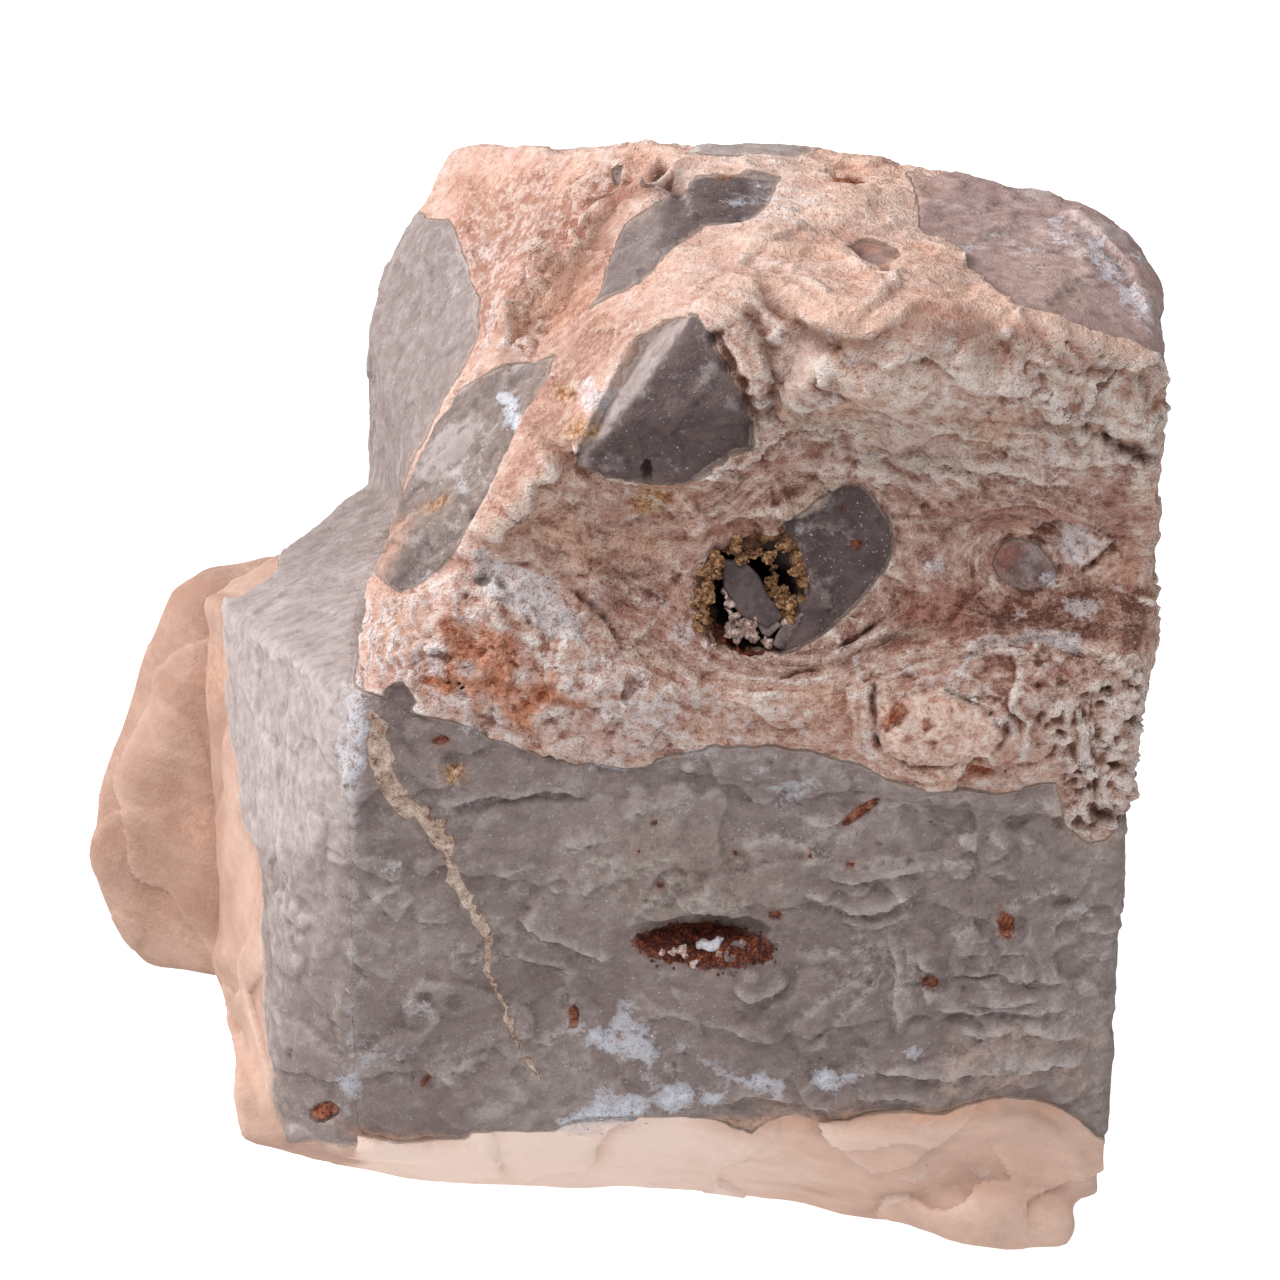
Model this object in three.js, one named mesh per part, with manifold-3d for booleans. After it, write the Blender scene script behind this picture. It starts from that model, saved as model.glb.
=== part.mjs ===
// Leopardite stone: a hand-sized chip of grey jasper-like rock with a peach,
// flow-banded matrix over it and a thin peach skin under it.
//
// It is one natural piece of rock, so it is one closed solid. The solid is
// joined from convex blocks, one for each mass that the breaks left standing,
// and the hollows are then cut out of it. Millimetres, +Z up. X runs along the
// broken front wall, Y runs away from it, and the stone lies on the small flat
// spot of its underside at Z = 0.

import * as THREE from 'three';
import { ConvexGeometry } from 'three/addons/geometries/ConvexGeometry.js';
import * as BufferGeometryUtils from 'three/addons/utils/BufferGeometryUtils.js';
import Module from 'manifold-3d';

const wasm = await Module();
wasm.setup();

// ---- Driving dimensions ---------------------------------------------------

const LEFT = -11.3; // X of the front wall's sharp left edge
const RIGHT = 18.2; // X of the front wall's right edge
const FRONT = -16.0; // Y of the front wall
const BACK = 17.5; // Y of the furthest point, behind the peak
const WALL_FOOT = 4.6; // Z where the grey wall meets the peach skin
const WALL_TOP = 21.6; // Z where the grey wall meets the matrix, on average
const CROWN = 39.2; // Z of the top plateau
const SHOULDER = 22.0; // Z of the ledge on the left, behind the wall
const PEAK = 33.0; // Z of the far left peak
const LOBE_LEFT = -22.2; // X of the tip of the lobe behind the left face
const RIGHT_SIDE = 19.7; // X of the widest point of the right side

// ---- Blocks: each is the convex body of a few corners ----------------------

// The thick bed of grey rock: the front wall, the left face and the core.
const greyBed = [
  [LEFT - 0.3, FRONT + 1.2, WALL_FOOT - 1.0],
  [LEFT - 0.1, FRONT + 0.5, WALL_FOOT + 5],
  [LEFT + 0.1, FRONT + 0.4, WALL_TOP - 5],
  [LEFT + 0.9, FRONT + 0.4, WALL_TOP + 2],
  [LEFT + 7, FRONT, WALL_TOP - 4],
  [5.0, FRONT - 0.2, WALL_TOP - 5],
  [12.0, FRONT - 0.2, WALL_TOP - 6],
  [8.5, FRONT - 0.1, WALL_FOOT + 3],
  [RIGHT - 0.1, FRONT + 0.8, WALL_FOOT - 1.0],
  [RIGHT + 0.1, FRONT + 0.9, WALL_TOP - 3.0],
  [RIGHT + 0.4, FRONT + 6, WALL_TOP - 4],
  [RIGHT - 0.2, FRONT + 6, WALL_FOOT - 0.5],
  [RIGHT - 1.6, 7, WALL_FOOT - 1.0],
  [RIGHT - 0.6, 9, WALL_TOP],
  [LEFT - 3.4, FRONT + 3.0, WALL_FOOT - 0.2],
  [LEFT - 5.4, -5.5, WALL_FOOT + 1.6],
  [LEFT - 6.1, 0.3, WALL_TOP - 6],
  [LEFT - 6.0, 1.8, SHOULDER - 2.4],
  [LEFT - 4.9, 6.8, SHOULDER - 3.7],
  [LEFT - 2.8, 5.4, SHOULDER - 1.8],
  [LEFT - 2.0, -5.0, SHOULDER - 0.2],
  [LEFT - 0.1, FRONT + 1.6, WALL_TOP + 2.3],
  [LEFT - 3.5, 13.0, WALL_FOOT - 1],
  [LEFT - 2.0, 14.5, SHOULDER - 8],
  [LEFT + 1.5, 12.0, SHOULDER - 1.0],
  [10, BACK - 3.5, WALL_FOOT - 1],
  [11, BACK - 3.0, WALL_TOP - 2],
];

// The flow-banded matrix on the bed: the front ridge, the plateau and the
// broken left facets that climb to them.
const crown = [
  [LEFT + 1.1, FRONT + 1.0, 23.8],
  [LEFT + 0.7, FRONT + 2.5, 24.8],
  [LEFT + 1.7, -12.4, 28.1],
  [LEFT + 3.3, -8.2, 31.2],
  [LEFT + 5.2, -5.5, 33.3],
  [LEFT + 8.2, -2.7, 36.7],
  [0.0, 0.1, CROWN - 0.4],
  [2.3, 3.3, CROWN - 0.5],
  [8.6, 2.8, CROWN - 0.5],
  [13.2, 0.9, CROWN - 1.0],
  [15.9, 0.1, CROWN - 1.3],
  [17.2, -1.6, CROWN - 1.4],
  [18.5, -4.0, CROWN - 1.7],
  [19.4, -7.0, CROWN - 2.1],
  [19.6, -10.4, CROWN - 2.6],
  [19.0, -14.0, CROWN - 1.8],
  [19.7, -13.4, CROWN - 3.5],
  [14.8, -14.9, CROWN - 0.4],
  [11.5, -15.5, CROWN],
  [8.2, -15.3, CROWN - 0.1],
  [4.6, -13.7, CROWN + 0.1],
  [2.4, -13.4, CROWN - 0.5],
  [RIGHT_SIDE, -12.8, 30.8],
  [RIGHT_SIDE - 0.1, -10.0, 25.2],
  [RIGHT_SIDE - 0.6, -13.0, 22.5],
  [RIGHT, FRONT + 0.8, 18.6],
  [RIGHT - 3, FRONT, 19.0],
  [5.0, FRONT, WALL_TOP],
  [LEFT + 3, FRONT + 0.2, WALL_TOP + 1],
  [RIGHT_SIDE - 0.5, -2, 27.0],
  [RIGHT_SIDE - 1.2, 6, 17.0],
  [14.0, 9.5, 25.0],
  [0.0, 11.0, 22.0],
  [LEFT + 3.8, -1.5, 24.5],
  [LEFT + 1.9, -9.0, 24.2],
];

// The grey clast whose broken face stands proud under the first peak of the
// front ridge.
const proudClast = [
  [2.4, -13.4, CROWN - 0.6],
  [-1.7, -12.8, 32.4],
  [-0.2, -13.4, 31.2],
  [2.2, -13.8, 31.7],
  [4.5, -13.8, 33.9],
  [3.7, -13.7, 36.6],
  [0.5, -9.0, 32.5],
  [5.0, -9.0, 34.0],
  [3.5, -9.0, 38.0],
];

// The rear mass, which falls from the plateau to the far left peak.
const rearMass = [
  [-7.6, 16.8, PEAK],
  [-5.7, 16.0, PEAK],
  [-4.2, 13.2, PEAK + 0.8],
  [-3.0, 10.6, PEAK + 2.3],
  [-0.8, 5.5, PEAK + 4.5],
  [2.3, 3.3, CROWN - 0.5],
  [8.6, 2.8, CROWN - 0.5],
  [12.0, 6.0, CROWN - 5],
  [9.0, 12.0, PEAK - 3],
  [0.0, 16.5, PEAK - 4],
  [-8.8, 16.4, PEAK - 2.2],
  [-10.3, 15.0, PEAK - 5],
  [-10.9, 13.0, 26.4],
  [-10.5, 9.6, 24.0],
  [-11.2, 12.0, 20.0],
  [-9.2, 2.0, 24.9],
  [-11.5, 16.0, 17.0],
  [-10.5, BACK - 1.5, 8.0],
  [-3.0, BACK, 14.0],
  [8.0, BACK - 1.0, 10.0],
  [11.0, 14.0, 24.0],
  [0.0, 0.0, 20.0],
];

// The peach lobe that stands out behind the left face.
const lobe = [
  [-16.2, 6.7, 18.3],
  [-18.1, 7.7, 17.9],
  [-19.2, 7.6, 17.4],
  [-20.5, 6.4, 14.2],
  [LOBE_LEFT + 0.1, 4.4, 9.4],
  [LOBE_LEFT - 0.2, 3.6, 7.2],
  [-21.3, 2.9, 5.6],
  [-20.8, 2.6, 4.0],
  [-20.0, 2.2, 2.9],
  [-17.2, 0.4, 3.4],
  [-19.2, 2.6, 9.0],
  [-18.9, 4.4, 14.0],
  [-16.0, 1.5, 10.0],
  [-20.9, 8.5, 3.6],
  [-19.8, 11.5, 11.0],
  [-17.0, 13.0, 15.2],
  [-12.0, 15.6, 16.0],
  [-9.0, 16.6, 8.0],
  [-13.0, 15.4, 3.0],
  [-17.5, 12.4, 2.0],
  [-11.0, 4.0, 4.0],
];

// The thin peach skin under the bed. Its middle is the flat resting spot.
const skin = [
  [13.5, -13.0, 0],
  [11.5, 5.0, 0],
  [4.0, 9.5, 0],
  [-6.0, 8.0, 0],
  [-8.5, -1.0, 0],
  [3.5, -9.0, 0],
  [-15.5, -13.3, 3.4],
  [-12.5, -13.2, 2.5],
  [-6.3, -13.1, 1.6],
  [0.0, -13.0, 1.2],
  [9.0, -14.0, 1.3],
  [-15.9, -12.0, 5.2],
  [-11.6, -14.8, 4.2],
  [0.0, -15.3, 4.8],
  [8.0, -15.9, 5.2],
  [15.4, -16.1, 6.0],
  [18.0, -15.3, 4.6],
  [18.2, -14.6, 1.4],
  [18.2, -6.0, 1.6],
  [16.6, 7.5, 3.0],
  [10.5, 14.4, 3.2],
  [-9.0, 15.6, 3.5],
  [-15.0, 11.5, 2.4],
  [-16.9, -3.0, 4.6],
];

// The stepped tip of the skin at the front right, which juts out lowest.
const skinTip = [
  [14.2, -16.2, 0],
  [16.8, -15.8, 0],
  [16.9, -13.0, 0],
  [16.9, -15.3, 1.5],
  [13.0, -16.0, 2.2],
  [11.8, -15.4, 0.5],
  [9.6, -14.5, 0.9],
  [9.0, -9.0, 0],
  [16.0, -8.0, 0],
  [15.5, -12.0, 3.0],
];

// ---- Hollows: stretched balls, centre, radii and tilt about X, Y, Z --------

const hollows = {
  // The long scoop of the matrix under the overhanging front ridge.
  scoop: { centre: [4.0, -30.6, 30.4], radii: [48, 17.6, 12.0], tilt: [0, 0.02, 0.03] },
  // The hollowed grey flank between the shoulder and the peak.
  flank: { centre: [-19.0, 1.0, 34.5], radii: [11.5, 13, 11.0], tilt: [0, 0, 0] },
  // The gully behind the pored left ridge.
  gully: { centre: [-9.5, 2.0, 40.0], radii: [5.2, 9, 8.6], tilt: [0.2, 0, 0] },
  // The shallow shell-like break high on the rear right.
  rearBreak: { centre: [17.5, 19.0, 29.0], radii: [15, 10.5, 13], tilt: [0, 0, -0.5] },
  // The open vug beside the round clast.
  vug: { centre: [4.1, -14.2, 27.0], radii: [2.0, 2.6, 2.2], tilt: [0, 0, 0] },
  // The flat lens-shaped vug in the wall.
  lens: { centre: [2.4, FRONT - 0.3, 14.0], radii: [2.8, 1.8, 0.85], tilt: [0, -0.05, 0] },
};

const HOLLOW_STEPS = { around: 20, down: 12 }; // facets of a hollow's ball

// ---- Making ----------------------------------------------------------------

/** The closed manifold solid of a three.js geometry. */
function solidOf(geometry) {
  const bare = geometry.index ? geometry.toNonIndexed() : geometry.clone();
  bare.deleteAttribute('normal');
  bare.deleteAttribute('uv');
  const merged = BufferGeometryUtils.mergeVertices(bare, 1e-5);
  return new wasm.Manifold(new wasm.Mesh({
    numProp: 3,
    vertProperties: new Float32Array(merged.attributes.position.array),
    triVerts: new Uint32Array(merged.index.array),
  }));
}

/** The convex block that its corners span. */
function block(corners) {
  return solidOf(new ConvexGeometry(corners.map((corner) => new THREE.Vector3(...corner))));
}

/** The stretched, tilted ball that cuts a hollow. */
function ball({ centre, radii, tilt }) {
  const geometry = new THREE.SphereGeometry(1, HOLLOW_STEPS.around, HOLLOW_STEPS.down);
  geometry.scale(...radii);
  geometry.applyMatrix4(new THREE.Matrix4().makeRotationFromEuler(new THREE.Euler(...tilt)));
  geometry.translate(...centre);
  return solidOf(geometry);
}

/** The flat-shaded three.js geometry of a manifold solid. */
function geometryOf(solid) {
  const mesh = solid.getMesh();
  const geometry = new THREE.BufferGeometry();
  const position = new THREE.BufferAttribute(mesh.vertProperties, 3);
  geometry.setAttribute('position', position);
  geometry.setIndex(new THREE.BufferAttribute(mesh.triVerts, 1));
  geometry.computeVertexNormals();
  return geometry;
}

let rock = block(greyBed);
for (const corners of [crown, rearMass, lobe, skin, skinTip]) {
  rock = rock.add(block(corners));
}
const { scoop, flank, gully, rearBreak, vug, lens } = hollows;
for (const hollow of [scoop, flank, gully, rearBreak]) {
  rock = rock.subtract(ball(hollow));
}
rock = rock.add(block(proudClast));
for (const hollow of [vug, lens]) {
  rock = rock.subtract(ball(hollow));
}

const stoneGeometry = geometryOf(rock);

// The origin is the middle of the stone's box, at the height of the table.
stoneGeometry.computeBoundingBox();
const middle = stoneGeometry.boundingBox.getCenter(new THREE.Vector3());
stoneGeometry.translate(-middle.x, -middle.y, -stoneGeometry.boundingBox.min.z);

const stone = new THREE.Mesh(
  stoneGeometry,
  new THREE.MeshStandardMaterial({ color: 0x9a8a80, roughness: 0.8, metalness: 0 }),
);
stone.name = 'stone';

const part = new THREE.Group();
part.add(stone);

export default part;
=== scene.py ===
"""The looks of a rough leopardite stone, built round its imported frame.

The stone is one closed mesh. It starts as a copy of the frame's solid, is
re-meshed finely, gets the relief of each kind of rock in it, and carries what
its material needs as named numbers on its points. Lengths are millimetres
while the rock is shaped and metres in the scene.
"""
from __future__ import annotations

import logging
import math
from dataclasses import dataclass, field
from enum import Enum

import bmesh
import bpy
import numpy as np
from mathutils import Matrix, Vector
from mathutils.bvhtree import BVHTree


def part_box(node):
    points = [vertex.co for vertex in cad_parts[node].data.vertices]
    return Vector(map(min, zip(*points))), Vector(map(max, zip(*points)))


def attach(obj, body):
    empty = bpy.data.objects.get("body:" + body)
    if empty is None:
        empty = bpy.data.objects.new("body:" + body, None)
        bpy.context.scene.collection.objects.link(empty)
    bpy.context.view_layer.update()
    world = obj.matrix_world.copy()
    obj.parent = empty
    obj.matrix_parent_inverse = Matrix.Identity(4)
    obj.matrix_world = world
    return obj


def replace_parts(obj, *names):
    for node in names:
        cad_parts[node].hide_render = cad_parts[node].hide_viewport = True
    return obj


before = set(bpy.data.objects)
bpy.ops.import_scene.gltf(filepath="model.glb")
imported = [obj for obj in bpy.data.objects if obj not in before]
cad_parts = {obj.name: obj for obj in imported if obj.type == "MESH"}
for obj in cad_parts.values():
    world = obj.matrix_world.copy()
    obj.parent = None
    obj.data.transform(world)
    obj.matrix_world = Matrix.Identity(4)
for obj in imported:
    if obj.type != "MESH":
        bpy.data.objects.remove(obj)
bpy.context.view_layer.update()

LOG = logging.getLogger("leopardite")
MM = 0.001
NODE = "stone"
BODY = "root"
SEED = 20

Array = np.ndarray
Point2 = tuple[float, float]


# Numbers that vary smoothly through the rock


class RockNoise:
    """Seeded gradient noise and cell noise at points in millimetres."""

    TABLE = 256

    def __init__(self, seed: int) -> None:
        """Draws the permutation and the gradients.

        Args:
            seed: The number that fixes every draw.
        """
        draw = np.random.default_rng(seed)
        order = draw.permutation(self.TABLE)
        self._order = np.concatenate([order, order, order])
        gradients = draw.normal(size=(self.TABLE, 3))
        gradients /= np.linalg.norm(gradients, axis=1, keepdims=True)
        self._gradients = gradients.astype(np.float32)
        self._feature = draw.random((self.TABLE, 3)).astype(np.float32)

    def _hash(self, cell: Array) -> Array:
        """The table index of each lattice cell.

        Args:
            cell: Whole-number cells, one row each.

        Returns:
            One index for each row.
        """
        wrapped = cell & (self.TABLE - 1)
        order = self._order
        return order[order[order[wrapped[:, 0]] + wrapped[:, 1]] + wrapped[:, 2]]

    def smooth(self, points: Array, size: float, shift: float = 0.0) -> Array:
        """Gradient noise from about -1 to 1.

        Args:
            points: Points in millimetres.
            size: The size of one lump in millimetres.
            shift: Moves the pattern, so that two calls differ.

        Returns:
            One number for each point.
        """
        scaled = (points / size + shift).astype(np.float32)
        cell = np.floor(scaled).astype(np.int64)
        local = scaled - cell
        fade = local * local * local * (local * (local * 6 - 15) + 10)
        total = np.zeros(len(points), np.float32)
        for corner in np.ndindex(2, 2, 2):
            offset = np.array(corner)
            gradient = self._gradients[self._hash(cell + offset)]
            dot = np.einsum("ij,ij->i", gradient, local - offset.astype(np.float32))
            weight = np.prod(np.where(offset, fade, 1 - fade), axis=1)
            total += weight * dot
        return total * 1.6

    def layered(self, points: Array, size: float, octaves: int = 4, shift: float = 0.0) -> Array:
        """Several sizes of smooth noise added up, each half the last.

        Args:
            points: Points in millimetres.
            size: The largest lump's size in millimetres.
            octaves: How many sizes are added.
            shift: Moves the pattern.

        Returns:
            One number for each point.
        """
        total = np.zeros(len(points), np.float32)
        for octave in range(octaves):
            share = 0.5**octave
            total += share * self.smooth(points, size * share, shift + 17.3 * octave)
        return total

    def ridged(self, points: Array, size: float, octaves: int = 3, shift: float = 0.0) -> Array:
        """Noise with sharp crests, from 0 in the troughs to 1 on the crests.

        Args:
            points: Points in millimetres.
            size: The largest lump's size in millimetres.
            octaves: How many sizes are added.
            shift: Moves the pattern.

        Returns:
            One number for each point.
        """
        total = np.zeros(len(points), np.float32)
        norm = 0.0
        for octave in range(octaves):
            share = 0.5**octave
            total += share * (1 - np.abs(self.smooth(points, size * share, shift + 9.1 * octave)))
            norm += share
        return total / norm

    def cells(self, points: Array, size: float, shift: float = 0.0) -> tuple[Array, Array]:
        """Distances to the nearest two scattered feature points.

        Args:
            points: Points in millimetres.
            size: The spacing of the features in millimetres.
            shift: Moves the pattern.

        Returns:
            The nearest and the second nearest distance, in units of size.
        """
        scaled = (points / size + shift).astype(np.float32)
        cell = np.floor(scaled).astype(np.int64)
        first = np.full(len(points), 9.0, np.float32)
        second = np.full(len(points), 9.0, np.float32)
        for step in np.ndindex(3, 3, 3):
            near = cell + np.array(step) - 1
            apart = scaled - near - self._feature[self._hash(near)]
            distance = np.sqrt(np.einsum("ij,ij->i", apart, apart))
            second = np.minimum(second, np.maximum(first, distance))
            first = np.minimum(first, distance)
        return first, second

    def facets(self, points: Array, size: float, shift: float = 0.0) -> Array:
        """Small flat planes that lean all ways and meet in sharp steps.

        Args:
            points: Points in millimetres.
            size: The width of one plane in millimetres.
            shift: Moves the pattern.

        Returns:
            Heights from about -1 to 1.
        """
        scaled = (points / size + shift).astype(np.float32)
        cell = np.floor(scaled).astype(np.int64)
        first = np.full(len(points), 9.0, np.float32)
        height = np.zeros(len(points), np.float32)
        for step in np.ndindex(3, 3, 3):
            near = cell + np.array(step) - 1
            index = self._hash(near)
            apart = scaled - near - self._feature[index]
            distance = np.einsum("ij,ij->i", apart, apart)
            lean = np.einsum("ij,ij->i", apart, self._gradients[index])
            lean += self._feature[index, 0] * 0.8 - 0.4
            closer = distance < first
            first = np.where(closer, distance, first)
            height = np.where(closer, lean, height)
        return height

    def warp(self, points: Array, size: float, amount: float, shift: float = 0.0) -> Array:
        """Points pushed about by smooth noise, so that patterns lose their order."""
        pushed = np.empty_like(points)
        for axis in range(3):
            push = self.smooth(points, size, shift + 40.7 * axis)
            pushed[:, axis] = points[:, axis] + amount * push
        return pushed


def ease(low: float, high: float, value: Array) -> Array:
    """A smooth step from 0 at low to 1 at high.

    Args:
        low: Where the step starts.
        high: Where the step ends.
        value: The numbers to step.

    Returns:
        Numbers from 0 to 1.
    """
    share = np.clip((value - low) / (high - low), 0, 1)
    return share * share * (3 - 2 * share)


def bump(distance: Array, width: float) -> Array:
    """A bell of height 1 round distance 0.

    Args:
        distance: Distances in millimetres.
        width: The bell's half width in millimetres.

    Returns:
        Numbers from 0 to 1.
    """
    return np.exp(-((distance / width) ** 2))


# Where things are: a plane that leans back with the stone's broken face


@dataclass(frozen=True)
class LeaningPlane:
    """A drawing plane through the front foot of the stone's box.

    Outlines are drawn on it in millimetres: across from the middle, and up
    along the lean. The third number is the depth behind the plane.
    """

    low: Vector
    high: Vector
    lean: float = math.radians(26)

    def axes(self) -> Array:
        """The plane's across, up and inward directions, one row each."""
        s, c = math.sin(self.lean), math.cos(self.lean)
        return np.array([[1, 0, 0], [0, s, c], [0, c, -s]])

    def foot(self) -> Array:
        """The plane's zero point in millimetres."""
        return np.array([(self.low.x + self.high.x) / 2, self.low.y, self.low.z]) / MM

    def place(self, points: Array) -> Array:
        """Points in millimetres as across, up and depth, one row each."""
        return (points - self.foot()) @ self.axes().T


@dataclass(frozen=True)
class Patch:
    """A closed outline on the leaning plane, between two depths."""

    outline: tuple[Point2, ...]
    near: float = -30.0
    far: float = 30.0

    MARGIN = 2.5

    def inside(self, placed: Array) -> Array:
        """How far each point is inside the patch.

        Args:
            placed: Points as across, up and depth.

        Returns:
            Millimetres, above zero inside and below zero outside.
        """
        corners = np.array(self.outline)
        low, high = corners.min(0) - self.MARGIN, corners.max(0) + self.MARGIN
        result = np.full(len(placed), -self.MARGIN, np.float32)
        depth = placed[:, 2]
        close = np.all((placed[:, :2] > low) & (placed[:, :2] < high), axis=1)
        close &= (depth > self.near - self.MARGIN) & (depth < self.far + self.MARGIN)
        points = placed[close]
        best = np.full(len(points), 1e9)
        within = np.zeros(len(points), bool)
        for start, end in zip(corners, np.roll(corners, -1, axis=0)):
            along = end - start
            apart = points[:, :2] - start
            share = np.clip(apart @ along / (along @ along), 0, 1)
            best = np.minimum(best, np.sum((apart - share[:, None] * along) ** 2, axis=1))
            crosses = (start[1] > points[:, 1]) != (end[1] > points[:, 1])
            rise = end[1] - start[1] if end[1] != start[1] else 1e-9
            at = start[0] + (points[:, 1] - start[1]) / rise * (end[0] - start[0])
            within ^= crosses & (points[:, 0] < at)
        signed = np.where(within, 1, -1) * np.sqrt(best)
        ends = np.minimum(points[:, 2] - self.near, self.far - points[:, 2])
        result[close] = np.maximum(np.minimum(signed, ends), -self.MARGIN)
        return result


@dataclass(frozen=True)
class Trace:
    """An open line on the leaning plane, between two depths."""

    line: tuple[Point2, ...]
    near: float = -30.0
    far: float = 30.0

    MARGIN = 3.0

    def measure(self, placed: Array) -> tuple[Array, Array, Array]:
        """Measures points against the line.

        Args:
            placed: Points as across, up and depth.

        Returns:
            The distance (9 where the line is far off), the side (above zero
            to the left of the line's run) and the share of the way along.
        """
        corners = np.array(self.line)
        low, high = corners.min(0) - self.MARGIN, corners.max(0) + self.MARGIN
        close = np.all((placed[:, :2] > low) & (placed[:, :2] < high), axis=1)
        close &= (placed[:, 2] > self.near) & (placed[:, 2] < self.far)
        points = placed[close, :2]
        lengths = np.linalg.norm(np.diff(corners, axis=0), axis=1)
        starts = np.concatenate([[0], np.cumsum(lengths)])
        best = np.full(len(points), 1e9)
        turned = np.zeros(len(points))
        run = np.zeros(len(points))
        for index, (start, end) in enumerate(zip(corners[:-1], corners[1:])):
            along = end - start
            apart = points - start
            share = np.clip(apart @ along / (along @ along), 0, 1)
            gap = np.sum((apart - share[:, None] * along) ** 2, axis=1)
            nearer = gap < best
            best = np.where(nearer, gap, best)
            turn = along[0] * apart[:, 1] - along[1] * apart[:, 0]
            turned = np.where(nearer, np.sign(turn), turned)
            reached = (starts[index] + share * lengths[index]) / starts[-1]
            run = np.where(nearer, reached, run)
        distance = np.full(len(placed), 9.0)
        side = np.ones(len(placed))
        share_along = np.zeros(len(placed))
        distance[close] = np.minimum(np.sqrt(best), 9.0)
        side[close] = np.where(turned == 0, 1, turned)
        share_along[close] = run
        return distance, side, share_along


@dataclass(frozen=True)
class Spot:
    """A round or oval spot on the leaning plane."""

    across: float
    up: float
    radius: float
    stretch: float = 1.0
    turn: float = 0.0
    near: float = -30.0
    far: float = 30.0

    def inside(self, placed: Array) -> Array:
        """How far each point is inside the spot, in millimetres.

        Args:
            placed: The points on the leaning plane: across, up and depth.

        Returns:
            Millimetres, less than 0 outside.
        """
        x, y = placed[:, 0] - self.across, placed[:, 1] - self.up
        s, c = math.sin(self.turn), math.cos(self.turn)
        along, over = (x * c + y * s) / self.stretch, y * c - x * s
        reach = self.radius - np.sqrt(along**2 + over**2)
        outside = (placed[:, 2] < self.near) | (placed[:, 2] > self.far)
        return np.where(outside, -9.0, reach)


@dataclass(frozen=True)
class Streak:
    """A soft stroke of even width along a line on the leaning plane."""

    line: tuple[Point2, ...]
    half: float
    near: float = -30.0
    far: float = 30.0

    def inside(self, placed: Array) -> Array:
        """How far each point is inside the stroke, in millimetres."""
        distance, _, share = Trace(self.line, self.near, self.far).measure(placed)
        taper = 1 - 0.7 * np.abs(2 * share - 1) ** 3
        return self.half * taper - distance


@dataclass(frozen=True)
class Ledge:
    """A broken step: the rock stands proud on the left of the line's run."""

    line: tuple[Point2, ...]
    rise: float = 0.2
    reach: float = 0.6
    near: float = -19.0
    far: float = 4.0

    EDGE = 0.045
    SPREAD = 2.4

    def height(self, placed: Array, jag: Array) -> tuple[Array, Array]:
        """The step's height and how near each point is to its broken edge.

        Args:
            placed: Points as across, up and depth.
            jag: Noise that makes the edge wander, in millimetres.

        Returns:
            The height in millimetres, and 1 on the edge fading to 0.
        """
        distance, side, share = Trace(self.line, self.near, self.far).measure(placed)
        signed = distance * side + jag
        ends = ease(0.0, 0.15, share) * (1 - ease(0.85, 1.0, share)) * (distance < 9)
        fall = np.exp(-np.abs(signed) / (self.SPREAD * self.reach))
        lift = ease(-self.EDGE, self.EDGE, signed)
        return self.rise * ends * fall * lift, ends * bump(signed, 0.1)


class Hue(Enum):
    """The washes of colour that lie over the rocks. The dark washes are painted shade, and some of
    the brown and olive ones too.
    """

    ORANGE = "orange"
    PEACH = "peach"
    BROWN = "brown"
    RED = "red"
    RUST = "rust"
    PALE = "pale"
    OLIVE_AND_SHADE = "olive"
    TAN = "tan"
    DARK = "dark"


@dataclass(frozen=True)
class Wash:
    """One wash of colour, strongest inside its shape."""

    shape: "Patch | Spot | Streak"
    strength: float = 0.6
    soft: float = 0.35
    ragged: float = 0.35

    def share(self, placed: Array, ragged: Array) -> Array:
        """How much of the wash each point takes, 0 to 1."""
        inside = self.shape.inside(placed) + self.ragged * ragged
        return self.strength * ease(-self.soft, self.soft, inside)


def line_height(knots: tuple[Point2, ...], across: Array) -> Array:
    """Height of a line given by its knots.

    Args:
        knots: Across and height pairs, from left to right.
        across: Where the height is wanted.

    Returns:
        One height for each place.
    """
    table = np.array(knots)
    return np.interp(across, table[:, 0], table[:, 1])


# What lies where on the stone


@dataclass(frozen=True)
class Clast:
    """A piece of grey rock that shows in the matrix.

    The tone runs from 0, dark, to 1, light. The tint runs from -1, greenish,
    to 1, pinkish.
    """

    patch: Patch
    tone: float
    tint: float = 0.0
    rough: float = 0.0


@dataclass(frozen=True)
class BuriedClast:
    """A rounded clast that comes out on a hidden side of the stone."""

    centre: tuple[float, float, float]
    radii: tuple[float, float, float]
    tone: float

    def inside(self, points: Array) -> Array:
        """How far each point in millimetres is inside the clast."""
        radii = np.array(self.radii)
        scaled = np.linalg.norm((points - np.array(self.centre)) / radii, axis=1)
        return (1 - scaled) * radii.min()


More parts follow.
